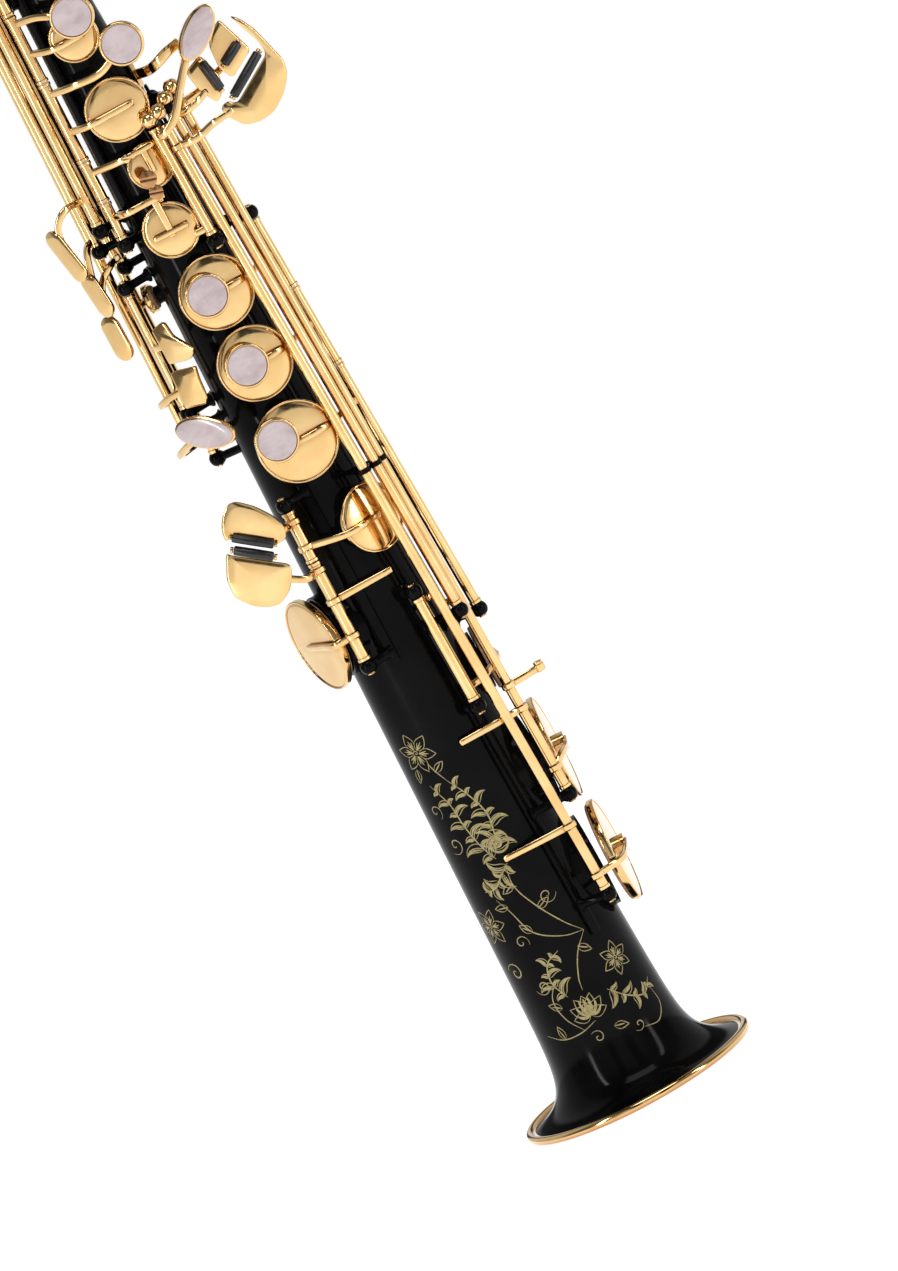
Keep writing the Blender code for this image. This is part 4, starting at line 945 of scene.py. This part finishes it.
def make_pinky_keys():
    """Low C and E flat, on one hinge under the right little finger."""
    line = PINKY
    outline = ((-39.8, 248.6), (-44.3, 239.6), (-44.8, 232.6), (-40.3, 226.6), (-34.8, 223.4),
               (-30.8, 223.1), (-25.8, 226.1), (-22.3, 231.1), (-21.3, 234.6), (-25.3, 237.4),
               (-38.8, 247.1))
    start, end = on_pinky(-25.3, 239.9, 0.9), on_pinky(-36.9, 248.5, 0.9)
    at_rest = [sleeve(line, 189.6, 229.8, WIDE_SLEEVE), little_touch(outline, PINKY_PLANE),
               arm([on(line, 226.5), (-19, -30.5, 226.8), on_pinky(-26, 231, -0.8)], 3.0),
               arm([on(line, 214), (9.5, -23.6, 214)]), *roller_pins(start, end),
               *saddle(line, 199.6, 214, 226.5, radius=WIDE_SLEEVE)]
    opens = arm([on(line, 199.6), *over("low_c", (19.6, 0.9, 0), (8, 0.9, 0), (-4, 0.75, 0))])
    cup_key("low_c", line, [opens], 2.6, at_rest)
    add("low_c_roller_barrel", [roller_shape(start, end)], ROLLER, "low_c_roller", ["low_c_roller"])

    outline = ((-38.2, 252.3), (-37.2, 257.3), (-34.2, 261.8), (-30.7, 264.3), (-27.7, 263.8),
               (-22.7, 259.3), (-18.2, 252.8), (-16.7, 248.3), (-18, 243.5), (-22.7, 242.9), (-36.4, 252.7))
    start, end = on_pinky(-23.2, 243.9, 1.4), on_pinky(-35.4, 252.9, 1.4)
    shapes = [sleeve(line, 230.2, 250.4, WIDE_SLEEVE), little_touch(outline, PINKY_PLANE),
              arm([on(line, 236), *over("e_flat", (-12, 0.8, 0), (2, 0.75, 0))]),
              arm([on(line, 246.3), (-16.5, -28.5, 246.3), on_pinky(-20, 246.6, -0.8)], 3.0),
              *roller_pins(start, end, 1.2), *saddle(line, 236, 246.3, radius=WIDE_SLEEVE)]
    cup_key("e_flat", line, shapes)
    add("e_flat_roller", [roller_shape(start, end, 1.6)], ROLLER, "e_flat_key")


def make_right_stack():
    """D, E and F, each with a pearl on a stalk over its cup."""
    line = RIGHT_STACK
    for name, low, high, x, z in (("d", 185.4, 286.2, -7.0, 276.5), ("e", 286.6, 318.4, -3.6, 305.5),
                                  ("f", 318.8, 347.4, -4.2, 334.6)):
        centre, _, diameter = CUPS[name]
        face = -seat_radius(centre) - CUP_TOP - 1.2
        holder = Vector((x, face - 2.0, z))
        shapes = [sleeve(line, low, high, STACK_SLEEVE), cup_arm(line, name, centre, diameter / 2 - 4, -6),
                  rod(Vector((x, face + 2.6, z)), Vector((x, face - 2.2, z)), 2.6), bezel(holder)]
        cup_key(name, line, shapes, 3.0, pearls=[pearl(holder)])


# Keys of the upper half


def make_f_sharp():
    """The F sharp vent, with its two adjusting screws."""
    name = "f_sharp"
    line = LEFT_STACK
    shapes = [
        sleeve(line, 365.2, 379.6, STACK_SLEEVE),
        arm([on(line, 373.8), *over(name, *((side, 1.2, 13) for side in (-11, -4, 2, 4)))]),
        arm(over(name, (0, 0.9, 14), (0, 0.9, 5), (0, 0.6, -2)), side=tangent(0)),
        arm(over(name, *((side, 1.1, -0.4) for side in (-6.5, 0, 6.5))), taper=(0.8, 0.8)),
        link(over(name, (2.4, 1.4, 12), (3, 4.2, 16), (3, 6.2, 21))),
    ]
    lift = 2.0
    screws = []
    for up, above, radius in ((15.6, 5.0, 2.6), (21.4, 7.0, 3.1)):
        screws += slotted(*over(name, (3, above, up)), FRONT, radius, 1.5)
    add("f_sharp_screws", opened(name, line, screws, lift), SCREW, "f_sharp_key")
    cup_key(name, line, shapes, lift)


def make_g_sharp():
    """The key with the cup, and the lever that works it, with a slanting pearl."""
    line = LEFT_STACK
    cup_key("g_sharp", line, [
        sleeve(line, 380.0, 396.2, STACK_SLEEVE),
        arm([on(line, 391.5), *over("g_sharp", *((side, 1.1, 7) for side in (-8, -2, 4, 10)))]),
        arm(over("g_sharp", (0, 0.9, 8), (0, 0.9, 3), (0, 0.6, -2)), side=tangent(8)),
        *slotted(*over("g_sharp", (-7, 1.8, 7)), FRONT, 1.5, 0.9),
    ])

    line = G_SHARP_LINE
    place = facing(Vector((39.8, -29.5, 420.5)), Vector((0.24, -1, 0)))

    def slanted(length, width):
        return [(y * 0.8 + x * 0.6, y * 0.6 - x * 0.8) for x, y in oval(length, width)]

    ways = [(11.5, -33.4, 394), (18, -35.4, 397.5), (25, -33.4, 405.8), (31.5, -31.4, 413.5),
            (35.5, -29.8, 418)]
    shapes = [sleeve(line, 353.2, 397.0), link([on(line, 394), *ways], 3.0),
              arm([on(line, 356), (5.5, -27.4, 356)]), plate(slanted(22, 11), place, 2.4)]
    inlay = plate(slanted(20.2, 9.4), place @ Matrix.Translation((0, 0, 2.1)), 1.0, 0.5)
    lever_key("g_sharp_lever", shapes, [inlay])


def make_left_stack():
    """G, A, bis and B, with their pearls, and the front F key."""
    line = LEFT_STACK
    rows = (
        # name, sleeve, arm over the cup, lift, holder's centre and radius, way to the holder
        ("g", (396.6, 428.2), (408.3, -10.5, 6), 2.8, (16.6, -25.2, 430), BEZEL_RADIUS,
         [on(line, 423.6), (-7.5, -21.5, 423.6), (4, -23.8, 423.6), (12, -25.0, 427.5)]),
        ("a", (428.6, 455.2), (440, -8, 4), 2.6, (5.5, -25.2, 447), BEZEL_RADIUS,
         [on(line, 452), (-8, -20.5, 452), (-1, -24.6, 450)]),
        ("bis", (455.6, 470.6), (463.5, -7, 5), 2.4, (11, -23.4, 466), SMALL_BEZEL,
         [*over("bis", (3, 0.9, 0)), (8, -22.8, 465)]),
    )
    for name, ends, crossing, lift, centre, radius, ways in rows:
        centre = Vector(centre)
        shapes = [sleeve(line, *ends, STACK_SLEEVE), cup_arm(line, name, *crossing), bezel(centre, radius),
                  link([*ways, centre - FRONT * 0.4])]
        cup_key(name, line, shapes, lift, pearls=[pearl(centre, radius)])

    top = over("b", (0, 0, 0))[0].y
    centre = Vector((3, top - 3.4, 480.5))
    stalk = rod(Vector((3, top + 1, 480.5)), centre + FRONT * 0.4, 2.2)
    shapes = [sleeve(line, 471.0, 492.4, STACK_SLEEVE), cup_arm(line, "b", 484, -6.5, 4), stalk,
              bezel(centre)]
    cup_key("b", line, shapes, 2.4, pearls=[pearl(centre)])

    line = FRONT_F_LINE
    centre = Vector((-2, -24.8, 498.5))
    profile = [(5.0, 0), (5.4, 0.3), (5.4, 1.2), (5.1, 1.6), (4.0, 1.85), (2.0, 1.7), (0, 1.6)]
    shapes = [sleeve(line, 500.2, 511.0, 1.6), turned(profile, facing(centre, FRONT)),
              link([on(line, 504), (3.5, -24.6, 501.5), centre + FRONT * 0.6]),
              arm([on(line, 509), over_tube(509, 32, 11.5), over_tube(531, 30, 9.5)])]
    lever_key("front_f_key", shapes)


def touch(outline, centre, out, tilt=0.0, crown=0.35):
    """A touch plate that faces out, turned by tilt. A crowned one has a rounder edge."""
    lean = Matrix.Rotation(math.radians(tilt), 4, "Z")
    return plate(outline, facing(centre, out) @ lean, TOUCH_DEPTH, crown, 0.55 if crown else 0.5)


def touch_key(name, line, ends, crossing, start, ways, centre, angle, outline, tilt=0.0, crown=0.35,
              bar=(2.6, 1.7, 1.0), pearls=()):
    """A key with a touch plate. crossing is its arm over the cup; its other arm starts at height start."""
    centre = Vector(centre)
    out = outward(angle)
    shapes = [sleeve(line, *ends), cup_arm(line, name, *crossing), touch(outline, centre, out, tilt, crown),
              link([on(line, start), *ways, centre + out * 0.8], *bar)]
    cup_key(name, line, shapes, pearls=pearls)


def make_side_keys():
    """The right hand's high E, C, B flat, F sharp trill, high F sharp and high G keys."""
    touch_key("high_e", HIGH_E_LINE, (373.6, 545.4), (531, -4, -4), 384,
              [(-32, -21, 385), (-37.5, -21.5, 380)], (-38.5, -20.5, 370), -52, strip(22, 8), 16)
    touch_key("side_c", SIDE_C_LINE, (365.4, 514.6), (505, -4, -4), 368, [(-32, -5, 366), (-35, -6, 357)],
              (-35.5, -6.5, 350), -50, strip(18, 8), 8)
    touch_key("side_b_flat", SIDE_B_FLAT_LINE, (354.4, 474.6), (459, -4, 3), 356.5,
              [(-27, -1, 356.5), (-34, -1, 350)], (-36.8, -1, 332), -45, strip(18, 8.5))
    pointed = ((-6, 7.3), (-0.7, 8.9), (0.9, 8.2), (1.6, 2.6), (7.4, -4.2), (5.8, -6.7), (3, -7.6),
               (-6.1, -6.6))
    touch_key("f_sharp_trill", TRILL_LINE, (298.4, 344.4), (338, 3, -3), 322, [(-26.5, -14, 324)],
              (-19.8, -22.0, 324), -40, rounded_outline(pointed, 1.0), crown=0)
    pointed = ((-5, 6.9), (-2.1, 7.3), (6.9, 6.3), (5.6, 1.4), (4.7, -6.4), (3.3, -8), (-6.4, -7.2))
    touch_key("high_f_sharp", HIGH_F_SHARP_LINE, (290.4, 564.4), (552, 4, -3), 302,
              [(-35.5, -5, 303), (-31, -15.5, 306)], (-22.0, -22.5, 307.5), -40,
              rounded_outline(pointed, 1.0), crown=0)
    centre = Vector((-25, -25, 290.5))
    lean = Matrix.Rotation(math.radians(66), 4, "Z") @ Matrix.Translation((0, 0, 1.5))
    inlay = plate(oval(22.4, 11), facing(centre, outward(-32)) @ lean, 1.0, 0.5)
    touch_key("high_g", HIGH_G_LINE, (275.4, 581.4), (571, 3.5, -2.5), 282,
              [(-36, 8, 282), (-38, -6, 284), (-33, -18, 288)], centre, -32, oval(24, 12.6), 66, 0,
              pearls=[inlay])


def make_palm_keys():
    """The left palm's D, E flat and F keys."""
    bar = (3.2, 1.9, 1.1)
    touch_key("palm_d", PALM_D_LINE, (461.0, 511.0), (506, 4, -3), 464, [around(463, 94, 27)],
              around(453, 100, 29.5), 100, strip(22, 9), bar=bar)
    touch_key("palm_e_flat", PALM_E_FLAT_LINE, (476.0, 540.4), (524, 4, -3), 490, [around(488, 112, 26)],
              around(478, 122, 29.5), 122, strip(22, 9), bar=bar)
    touch_key("palm_f", PALM_F_LINE, (536.0, 553.0), (542, 3.5, -3), 546,
              [around(542, 70, 25), around(516, 76, 27.5)], around(505, 80, 28.5), 80, strip(20, 9), bar=bar)


def make_octave_keys():
    """The thumb's octave lever and the two small keys it works."""
    line = OCTAVE_LINE
    shapes = [sleeve(line, 466.0, 503.4), touch(strip(15, 12), over_tube(466, 192, 6.5), outward(192), 90),
              arm([on(line, 470), over_tube(469, 172, 8.3), over_tube(467, 186, 7.4)]),
              arm([on(line, 500), over_tube(501, 172, 8.0)])]
    lever_key("octave_lever", shapes)
    cup_key("lower_octave", line, [sleeve(line, 504.0, 530.4), cup_arm(line, "lower_octave", 520, -3, 2.5)])
    line = UPPER_OCTAVE_LINE
    cup_key("upper_octave", line, [sleeve(line, 545.6, 580.4), cup_arm(line, "upper_octave", 566, -3, 2.2)])


# Ribs and posts

# For each rib: its angle, its two ends, and its posts as (hinge, height, which end of the hinge). A post that
# stands beside the rib has a fourth value, the angle of its foot, and a strap of its own.
RIBS = {
    "front_rib": (30, 61, 206, (
        (LOW_B_FLAT_LINE, 72.2, -1), (LOW_B_LINE, 110, -1), (C_SHARP_CUP_LINE, 155.4, -1),
        (C_SHARP_CUP_LINE, 203, 1), (LOW_C_SHARP_LINE, 189, -1))),
    "pinky_rib": (-13, 183, 256, ((PINKY, 187, -1), (PINKY, 253, 1))),
    "right_rib": (86, 180, 408, (
        (RIGHT_STACK, 183, -1), (RIGHT_STACK, 350, 1), (G_SHARP_LINE, 350.6, -1),
        (LOW_C_SHARP_LINE, 401, 1), (LOW_B_LINE, 403.2, 1))),
    "left_rib": (-50, 360, 497, (
        (LEFT_STACK, 362.6, -1), (LEFT_STACK, 495, 1), (HIGH_E_LINE, 371, -1, -66),
        (SIDE_C_LINE, 363, -1, -85))),
    "side_rib": (-128, 269, 538, (
        (HIGH_G_LINE, 273, -1), (HIGH_F_SHARP_LINE, 288, -1, -108), (TRILL_LINE, 296, -1, -86),
        (TRILL_LINE, 347, 1, -86), (SIDE_B_FLAT_LINE, 352, -1), (SIDE_B_FLAT_LINE, 477, 1),
        (SIDE_C_LINE, 517, 1, -88))),
    "upper_rib": (-100, 540, 588, (
        (HIGH_E_LINE, 548, 1, -66), (HIGH_F_SHARP_LINE, 567, 1), (HIGH_G_LINE, 584, 1, -120))),
    "palm_rib": (118, 454, 587, (
        (PALM_D_LINE, 458, -1, 90), (PALM_D_LINE, 513.4, 1, 94), (PALM_E_FLAT_LINE, 473.4, -1),
        (PALM_E_FLAT_LINE, 543, 1), (PALM_F_LINE, 533.4, -1, 72), (PALM_F_LINE, 555.6, 1, 72),
        (OCTAVE_LINE, 463.4, -1, 150), (OCTAVE_LINE, 533, 1, 150), (UPPER_OCTAVE_LINE, 543, -1, 134),
        (UPPER_OCTAVE_LINE, 583, 1, 134))),
    "front_f_rib": (8, 493, 519, ((FRONT_F_LINE, 497.8, -1), (FRONT_F_LINE, 513.4, 1))),
}


def rib(angle, low, high):
    path = smooth_path([over_tube(z, angle, RIB_MIDDLE) for z in (low, high)], 3)
    return swept(path, RIB_WIDTH, RIB_DEPTH, tangent(angle), power=0.35)


def strap(z, start, stop):
    """A band around the tube from a rib to a post that stands beside it."""
    steps = max(3, math.ceil(abs(stop - start) / 6))
    path = [over_tube(z, start + (stop - start) * i / steps, RIB_MIDDLE) for i in range(steps + 1)]
    return swept(path, RIB_WIDTH, RIB_DEPTH, power=0.35)


def post(line, z, angle):
    """A post with its ball head on the hinge and its stem, flared at the foot, down to the rib."""
    head = on(line, z)
    root = over_tube(z, angle, GAP + RIB_DEPTH * 0.6)
    length = (head - root).length
    stem = STEM_RADIUS
    profile = ((stem + 1.1, 0), (stem + 1.0, 0.5), (stem + 0.35, 1.1), (stem, 1.9), (stem, length - 2.9),
               (stem + 0.5, length - 2.4), (stem + 0.5, length - 1.8), (stem, length - 1.3), (stem, length))
    return [ball(head, axis_of(line)), turned(profile, standing(root, head - root), 24)]


def pivot_screw(line, z, end):
    """The slotted end of the screw that a key turns on, on the outer face of a post."""
    axis = axis_of(line) * end
    return slotted(on(line, z) + axis * BALL_RADIUS * BALL_CUT, axis, 1.35, 0.7)


def make_ribs():
    """The ribs, straps and posts of each group of keys, with the screws that the keys turn on."""
    for name, (rib_angle, low, high, posts) in RIBS.items():
        shapes = [rib(rib_angle, low, high)]
        screws = []
        for line, z, end, *aside in posts:
            shapes += [strap(z, rib_angle, angle) for angle in aside]
            shapes += post(line, z, *(aside or [rib_angle]))
            screws += pivot_screw(line, z, end)
        add(name + "_posts", shapes, BLACK, nodes=[name])
        add(name + "_screws", screws, GOLD)


def make_rod_guides():
    """The rings on short posts that steady the three long rods of the left little finger."""
    z = 251
    shapes = []
    for line in (LOW_B_LINE, LOW_C_SHARP_LINE, LOW_B_FLAT_LINE):
        ring = [(SLEEVE + 0.2, -0.9), (SLEEVE + 0.55, -0.9), (SLEEVE + 0.65, 0), (SLEEVE + 0.55, 0.9),
                (SLEEVE + 0.2, 0.9)]
        shapes.append(turned(ring, Matrix.Translation(on(line, z)), 32, closed=True))
        shapes.append(arm([on(line, z) * 0.93 + UP * z * 0.07, over_tube(z, 40, 0.3)], 2.0, 1.5))
    add("rod_guides", shapes, BLACK)


def make_table_bridge():
    """The four ball heads above the little-finger table, and the bar that joins them."""
    rows = ((G_SHARP_LINE, 400.4), (LOW_B_FLAT_LINE, 401.4), (LOW_C_SHARP_LINE, 404.0), (LOW_B_LINE, 406.2))
    heads = [on(line, z) for line, z in rows]
    heads[-1] += FRONT * 1.6
    shapes = [ball(head, axis_of(line), 0.9) for head, (line, _) in zip(heads, rows)]
    add("table_bridge", [*shapes, link(heads, 2.6, 1.6)], GOLD)


def make_table_guard():
    """The bracket beside the little-finger table."""
    path = [over_tube(414, 66, 1.0), around(414, 58, 21), (21, -22.5, 416), (27, -25.2, 418.5),
            (32.5, -23.8, 419.5)]
    foot = swept([over_tube(z, 66, 1.0) for z in (409.5, 414, 418.5)], 4, 1.4, tangent(66), power=0.35)
    add("table_guard_bracket", [foot, link(path, 4, 1.6)], GOLD, nodes=["table_guard"])


# Engraving


def etched(points, width):
    """A fine raised line on the bell. Points are (around, up) in millimetres from the front."""
    shape = bmesh.new()
    rows = []
    for i, (x, z) in enumerate(points):
        before, after = points[max(i - 1, 0)], points[min(i + 1, len(points) - 1)]
        along = Vector((after[0] - before[0], after[1] - before[1])).normalized()
        swell = width / 2 * (0.3 + 0.7 * math.sin(math.pi * i / (len(points) - 1)))
        row = []
        for offset, lift in ((-swell, 0.02), (0, 0.06), (swell, 0.02)):
            px, pz = x - along.y * offset, z + along.x * offset
            radius = bell_radius(pz)
            row.append(shape.verts.new(around(pz, math.degrees(px / radius), radius + lift)))
        rows.append(row)
    for low, high in zip(rows, rows[1:]):
        for k in range(2):
            shape.faces.new((low[k], low[k + 1], high[k + 1], high[k]))
    bmesh.ops.recalc_face_normals(shape, faces=shape.faces)
    if shape.faces[0].normal.dot(shape.faces[0].calc_center_median() * Vector((1, 1, 0))) < 0:
        bmesh.ops.reverse_faces(shape, faces=shape.faces)
    return shape


def curve(*points):
    return [(p.x, p.y) for p in smooth_path([Vector((x, z, 0)) for x, z in points])]


def scroll(x, z, size, turns, start, hand=1):
    """A volute that winds outwards from (x, z)."""
    steps = int(26 * turns)
    points = []
    for i in range(steps + 1):
        t = i / steps
        turn = math.radians(start) + hand * math.tau * turns * t
        reach = size * (0.12 + 0.88 * t**1.3)
        points.append((x + reach * math.cos(turn), z + reach * math.sin(turn)))
    return points


def stroke(x, z, length, lean, bend):
    """A cut that starts at (x, z) and bends as it goes."""
    points = [(x, z)]
    for i in range(10):
        turn = math.radians(lean + bend * i / 9)
        x += length / 10 * math.cos(turn)
        z += length / 10 * math.sin(turn)
        points.append((x, z))
    return points


def petal(x, z, length, width, lean):
    """The pointed outline of a leaf or petal that springs from (x, z)."""
    turn = math.radians(lean)
    points = []
    for i in range(23):
        t = abs(i - 11) / 11
        aside = width / 2 * math.sin(math.pi * (1 - t) ** 0.8) * (1 if i < 11 else -1)
        along = length * (1 - t)
        points.append((x + along * math.cos(turn) - aside * math.sin(turn),
                       z + along * math.sin(turn) + aside * math.cos(turn)))
    return points


def flower(x, z, size, petals, spin):
    """Pointed petals around a small volute, each shaded with three cuts."""
    cuts = [(scroll(x, z, size * 0.18, 1.5, spin), 0.4)]
    for i in range(petals):
        lean = spin + 360 * i / petals
        turn = math.radians(lean)
        root = (x + size * 0.16 * math.cos(turn), z + size * 0.16 * math.sin(turn))
        cuts.append((petal(*root, size * 0.85, size * 0.5, lean), 0.34))
        cuts += [(stroke(*root, size * reach, lean + off, off * 0.4), 0.5)
                 for reach, off in ((0.5, 0), (0.4, 16), (0.4, -16))]
    return cuts


def leaf(x, z, length, width, lean, bend):
    """A curling pointed leaf: its two edges, a vein and a heavier cut that shades one half."""
    spine = stroke(x, z, length, lean, bend)
    edges = []
    for reach in (1, 0.5, -1):
        edge = []
        for i, (px, pz) in enumerate(spine):
            turn = math.radians(lean + bend * i / 9 + 90)
            wide = reach * width / 2 * math.sin(math.pi * (i / 10) ** 0.65)
            edge.append((px + wide * math.cos(turn), pz + wide * math.sin(turn)))
        edges.append(edge)
    return [(edges[0], 0.34), (edges[1][1:-1], 0.75), (edges[2], 0.34), (spine, 0.42)]


def frond(path, size, bend=95):
    """A spine with curling leaves on alternate sides that shrink towards its tip."""
    cuts = [(path, 0.55)]
    for step, i in enumerate(range(1, len(path) - 1, 4)):
        (x, z), (ahead_x, ahead_z) = path[i], path[i + 1]
        lean = math.degrees(math.atan2(ahead_z - z, ahead_x - x))
        reach = size * (1.3 - 0.75 * i / len(path))
        hand = 1 if step % 2 else -1
        cuts += leaf(x, z, reach, reach * 0.36, lean + 25 * hand, bend * hand)
        cuts += leaf(x, z, reach * 0.55, reach * 0.24, lean - 30 * hand, -bend * hand)
    return cuts


def lotus(x, z):
    """A fan of petals with a curved cut in each."""
    cuts = []
    for lean, reach, bend in ((90, 6.5, 0), (55, 6.8, 40), (125, 6.8, -40), (15, 6.5, 75), (165, 6.5, -75),
                              (-20, 5.5, 80), (200, 5.5, -80), (70, 4, 30), (110, 4, -30)):
        cuts.append((stroke(x, z, reach, lean, bend), 1.1))
        cuts.append((petal(x, z, reach * 1.2, 4.2, lean + bend * 0.3), 0.3))
    return cuts


def make_engraving():
    """Flowers, curling leaves and volutes up the front left of the bell and the lower body."""
    cuts = flower(-15.5, 149, 8, 6, 100) + flower(-24.5, 79, 7.5, 6, 60) + flower(15, 49, 6.5, 6, 80)
    cuts += frond(curve((-7, 102), (-10, 109), (-12, 118), (-13, 127), (-17, 136)), 8)
    cuts += frond(curve((-6, 104), (-3, 111), (-2, 119), (-5, 128), (-9, 135)), 7.5)
    cuts += frond(curve((-4, 99), (-9, 95), (-13, 92), (-18, 92)), 7)
    cuts += frond(curve((6, 41), (12, 35), (19, 32), (25, 36)), 6, 80)
    cuts += frond(curve((-8, 45), (-11, 52), (-9, 59), (-3, 62)), 6.5)
    stems = (
        ((-9, 135), (-12, 141), (-13, 144)),
        ((-5, 99), (-6, 90), (-2, 80), (4, 70), (9, 64)),
        ((9, 64), (1, 66), (-8, 72), (-12, 82), (-15, 88)),
        ((9, 64), (3, 58), (-1, 50), (-2, 45)),
        ((-3, 33), (-10, 31), (-18, 31), (-25, 34)),
        ((-8, 31), (-13, 38), (-14, 46), (-9, 53)),
        ((23, 33), (24, 26), (19, 21), (12, 22)),
    )
    cuts += [(curve(*points), 0.45) for points in stems]
    for *volute, width in (
        (-4, 107, 5.5, 1.6, 250, 1, 0.9), (-4.4, 107, 3.6, 1.3, 70, 1, 0.6), (3, 82, 3.6, 1.3, 240, 1, 0.4),
        (-14, 70, 3.2, 1.2, 40, -1, 0.4), (-15, 52, 3.6, 1.3, 300, -1, 0.5), (-5, 27, 2.8, 1.2, 60, 1, 0.4),
        (10.5, 24, 2.6, 1.1, 250, -1, 0.4), (-20, 112, 4, 1.3, 330, -1, 0.5),
        (-21, 126, 3.4, 1.2, 0, -1, 0.4), (-24, 60, 4.2, 1.4, 20, 1, 0.6),
    ):
        cuts.append((scroll(*volute), width))
    for x, z, lean in ((-8, 72, 130), (-2, 79, 20), (-12, 84, 170), (2, 28, -20), (-17, 31, 100),
                       (-12, 42, 150), (4, 60, -40), (-6, 91, 200), (-12, 140, 30), (-19, 143, 250)):
        cuts.append((petal(x, z, 5.5, 2.8, lean), 0.34))
        cuts.append((stroke(x, z, 4.2, lean, 10), 0.5))
    cuts += lotus(-3.6, 35.5)
    add("engraving", [etched(points, width) for points, width in cuts], ENGRAVING, angle=60)


# Studio


def make_floor():
    """A pale floor that glows a little, so that it stays even."""
    reach = 40
    mesh = bpy.data.meshes.new("floor")
    corners = [(-reach, -reach, 0), (reach, -reach, 0), (reach, reach, 0), (-reach, reach, 0)]
    mesh.from_pydata(corners, [], [(0, 1, 2, 3)])
    floor = bpy.data.objects.new("floor", mesh)
    bpy.context.scene.collection.objects.link(floor)
    made, tree, shader = new_material("floor")
    feed(tree, shader, {
        "Base Color": (0.9, 0.9, 0.9, 1),
        "Roughness": 0.9,
        "Emission Color": (1, 1, 1, 1),
        "Emission Strength": 0.7,
    })
    mesh.materials.append(made)


def make_sky():
    """A light sky that is dimmer in front, with two dark upright bands for the keys to mirror."""
    world = bpy.data.worlds.new("studio")
    bpy.context.scene.world = world
    world.use_nodes = True
    tree = world.node_tree
    where = node(tree, "TexCoord", {}).outputs["Generated"]
    split = node(tree, "SeparateXYZ", {"Vector": where})

    def levels(axis, stops):
        """Grey levels along one axis of the direction of view, from -1 to 1."""
        half = node(tree, "MapRange", {"Value": split.outputs[axis], "From Min": -1}).outputs["Result"]
        return ramp(tree, half, [(position, (level, level, level)) for position, level in stops])

    depth = levels("Y", ((0.0, 0.86), (0.08, 0.82), (0.17, 0.16), (0.5, 0.14), (0.6, 0.8), (1.0, 0.95)))
    depth.color_ramp.interpolation = "B_SPLINE"
    bands = levels("X", ((0.0, 1.0), (0.33, 1.0), (0.37, 0.1), (0.43, 0.1), (0.455, 1.0), (0.58, 1.0),
                         (0.605, 0.08), (0.69, 0.08), (0.73, 1.0)))
    inputs = {"Factor": 1.0, "A": depth.outputs["Color"], "B": bands.outputs["Color"]}
    both = node(tree, "Mix", inputs, data_type="RGBA", blend_type="MULTIPLY")
    feed(tree, tree.nodes["Background"], {"Strength": 0.74, "Color": both.outputs["Result"]})


def make_lamps():
    """Two tall soft lights beside the instrument, one above, and a faint one in front that isn't mirrored."""
    for name, place, aim, size, power in (
        ("left_box", (-1.3, -1.1, 0.75), (0, 0, 0.3), (0.14, 1.5), 11),
        ("right_box", (1.5, -0.9, 0.7), (0, 0, 0.3), (0.2, 1.5), 8),
        ("top_box", (0.2, -0.9, 1.9), (0, 0, 0.25), (1.2, 0.6), 9),
        ("front_box", (-0.35, -2.3, 0.9), (0, 0, 0.25), (0.5, 0.5), 3),
    ):
        lamp = bpy.data.lights.new(name, "AREA")
        lamp.shape = "RECTANGLE"
        lamp.size, lamp.size_y = size
        lamp.energy = power
        light = bpy.data.objects.new(name, lamp)
        light.location = place
        light.rotation_euler = (Vector(aim) - Vector(place)).to_track_quat("-Z", "Y").to_euler()
        light.visible_glossy = name != "front_box"
        bpy.context.scene.collection.objects.link(light)


def make_camera():
    """The camera looks down by ten degrees, and leans so that the instrument's top lies to the upper left."""
    distance = 9.0
    view_width = 0.4593
    sensor = 36
    down = math.radians(10)
    lean = math.radians(28.45)
    target = Vector((0.0166, 0, 0.1784))
    back = Vector((0, -math.cos(down), math.sin(down)))
    rise = Vector((0, math.sin(down), math.cos(down)))
    up = rise * math.cos(lean) + RIGHT * math.sin(lean)
    right = RIGHT * math.cos(lean) - rise * math.sin(lean)
    data = bpy.data.cameras.new("camera")
    data.sensor_width = sensor
    data.lens = sensor * distance / view_width
    camera = bpy.data.objects.new("camera", data)
    turn = Matrix((right, up, back)).transposed().to_4x4()
    camera.matrix_world = Matrix.Translation(target + back * distance) @ turn
    bpy.context.scene.collection.objects.link(camera)
    bpy.context.scene.camera = camera
    bpy.context.scene.view_settings.view_transform = "Standard"


make_bell()
make_body_tube()
make_top()
make_mouthpiece()
make_back_fittings()
make_low_b_flat()
make_low_b()
make_low_c_sharp()
make_pinky_keys()
make_right_stack()
make_f_sharp()
make_g_sharp()
make_left_stack()
make_side_keys()
make_palm_keys()
make_octave_keys()
make_ribs()
make_rod_guides()
make_table_bridge()
make_table_guard()
make_engraving()
make_floor()
make_sky()
make_lamps()
make_camera()
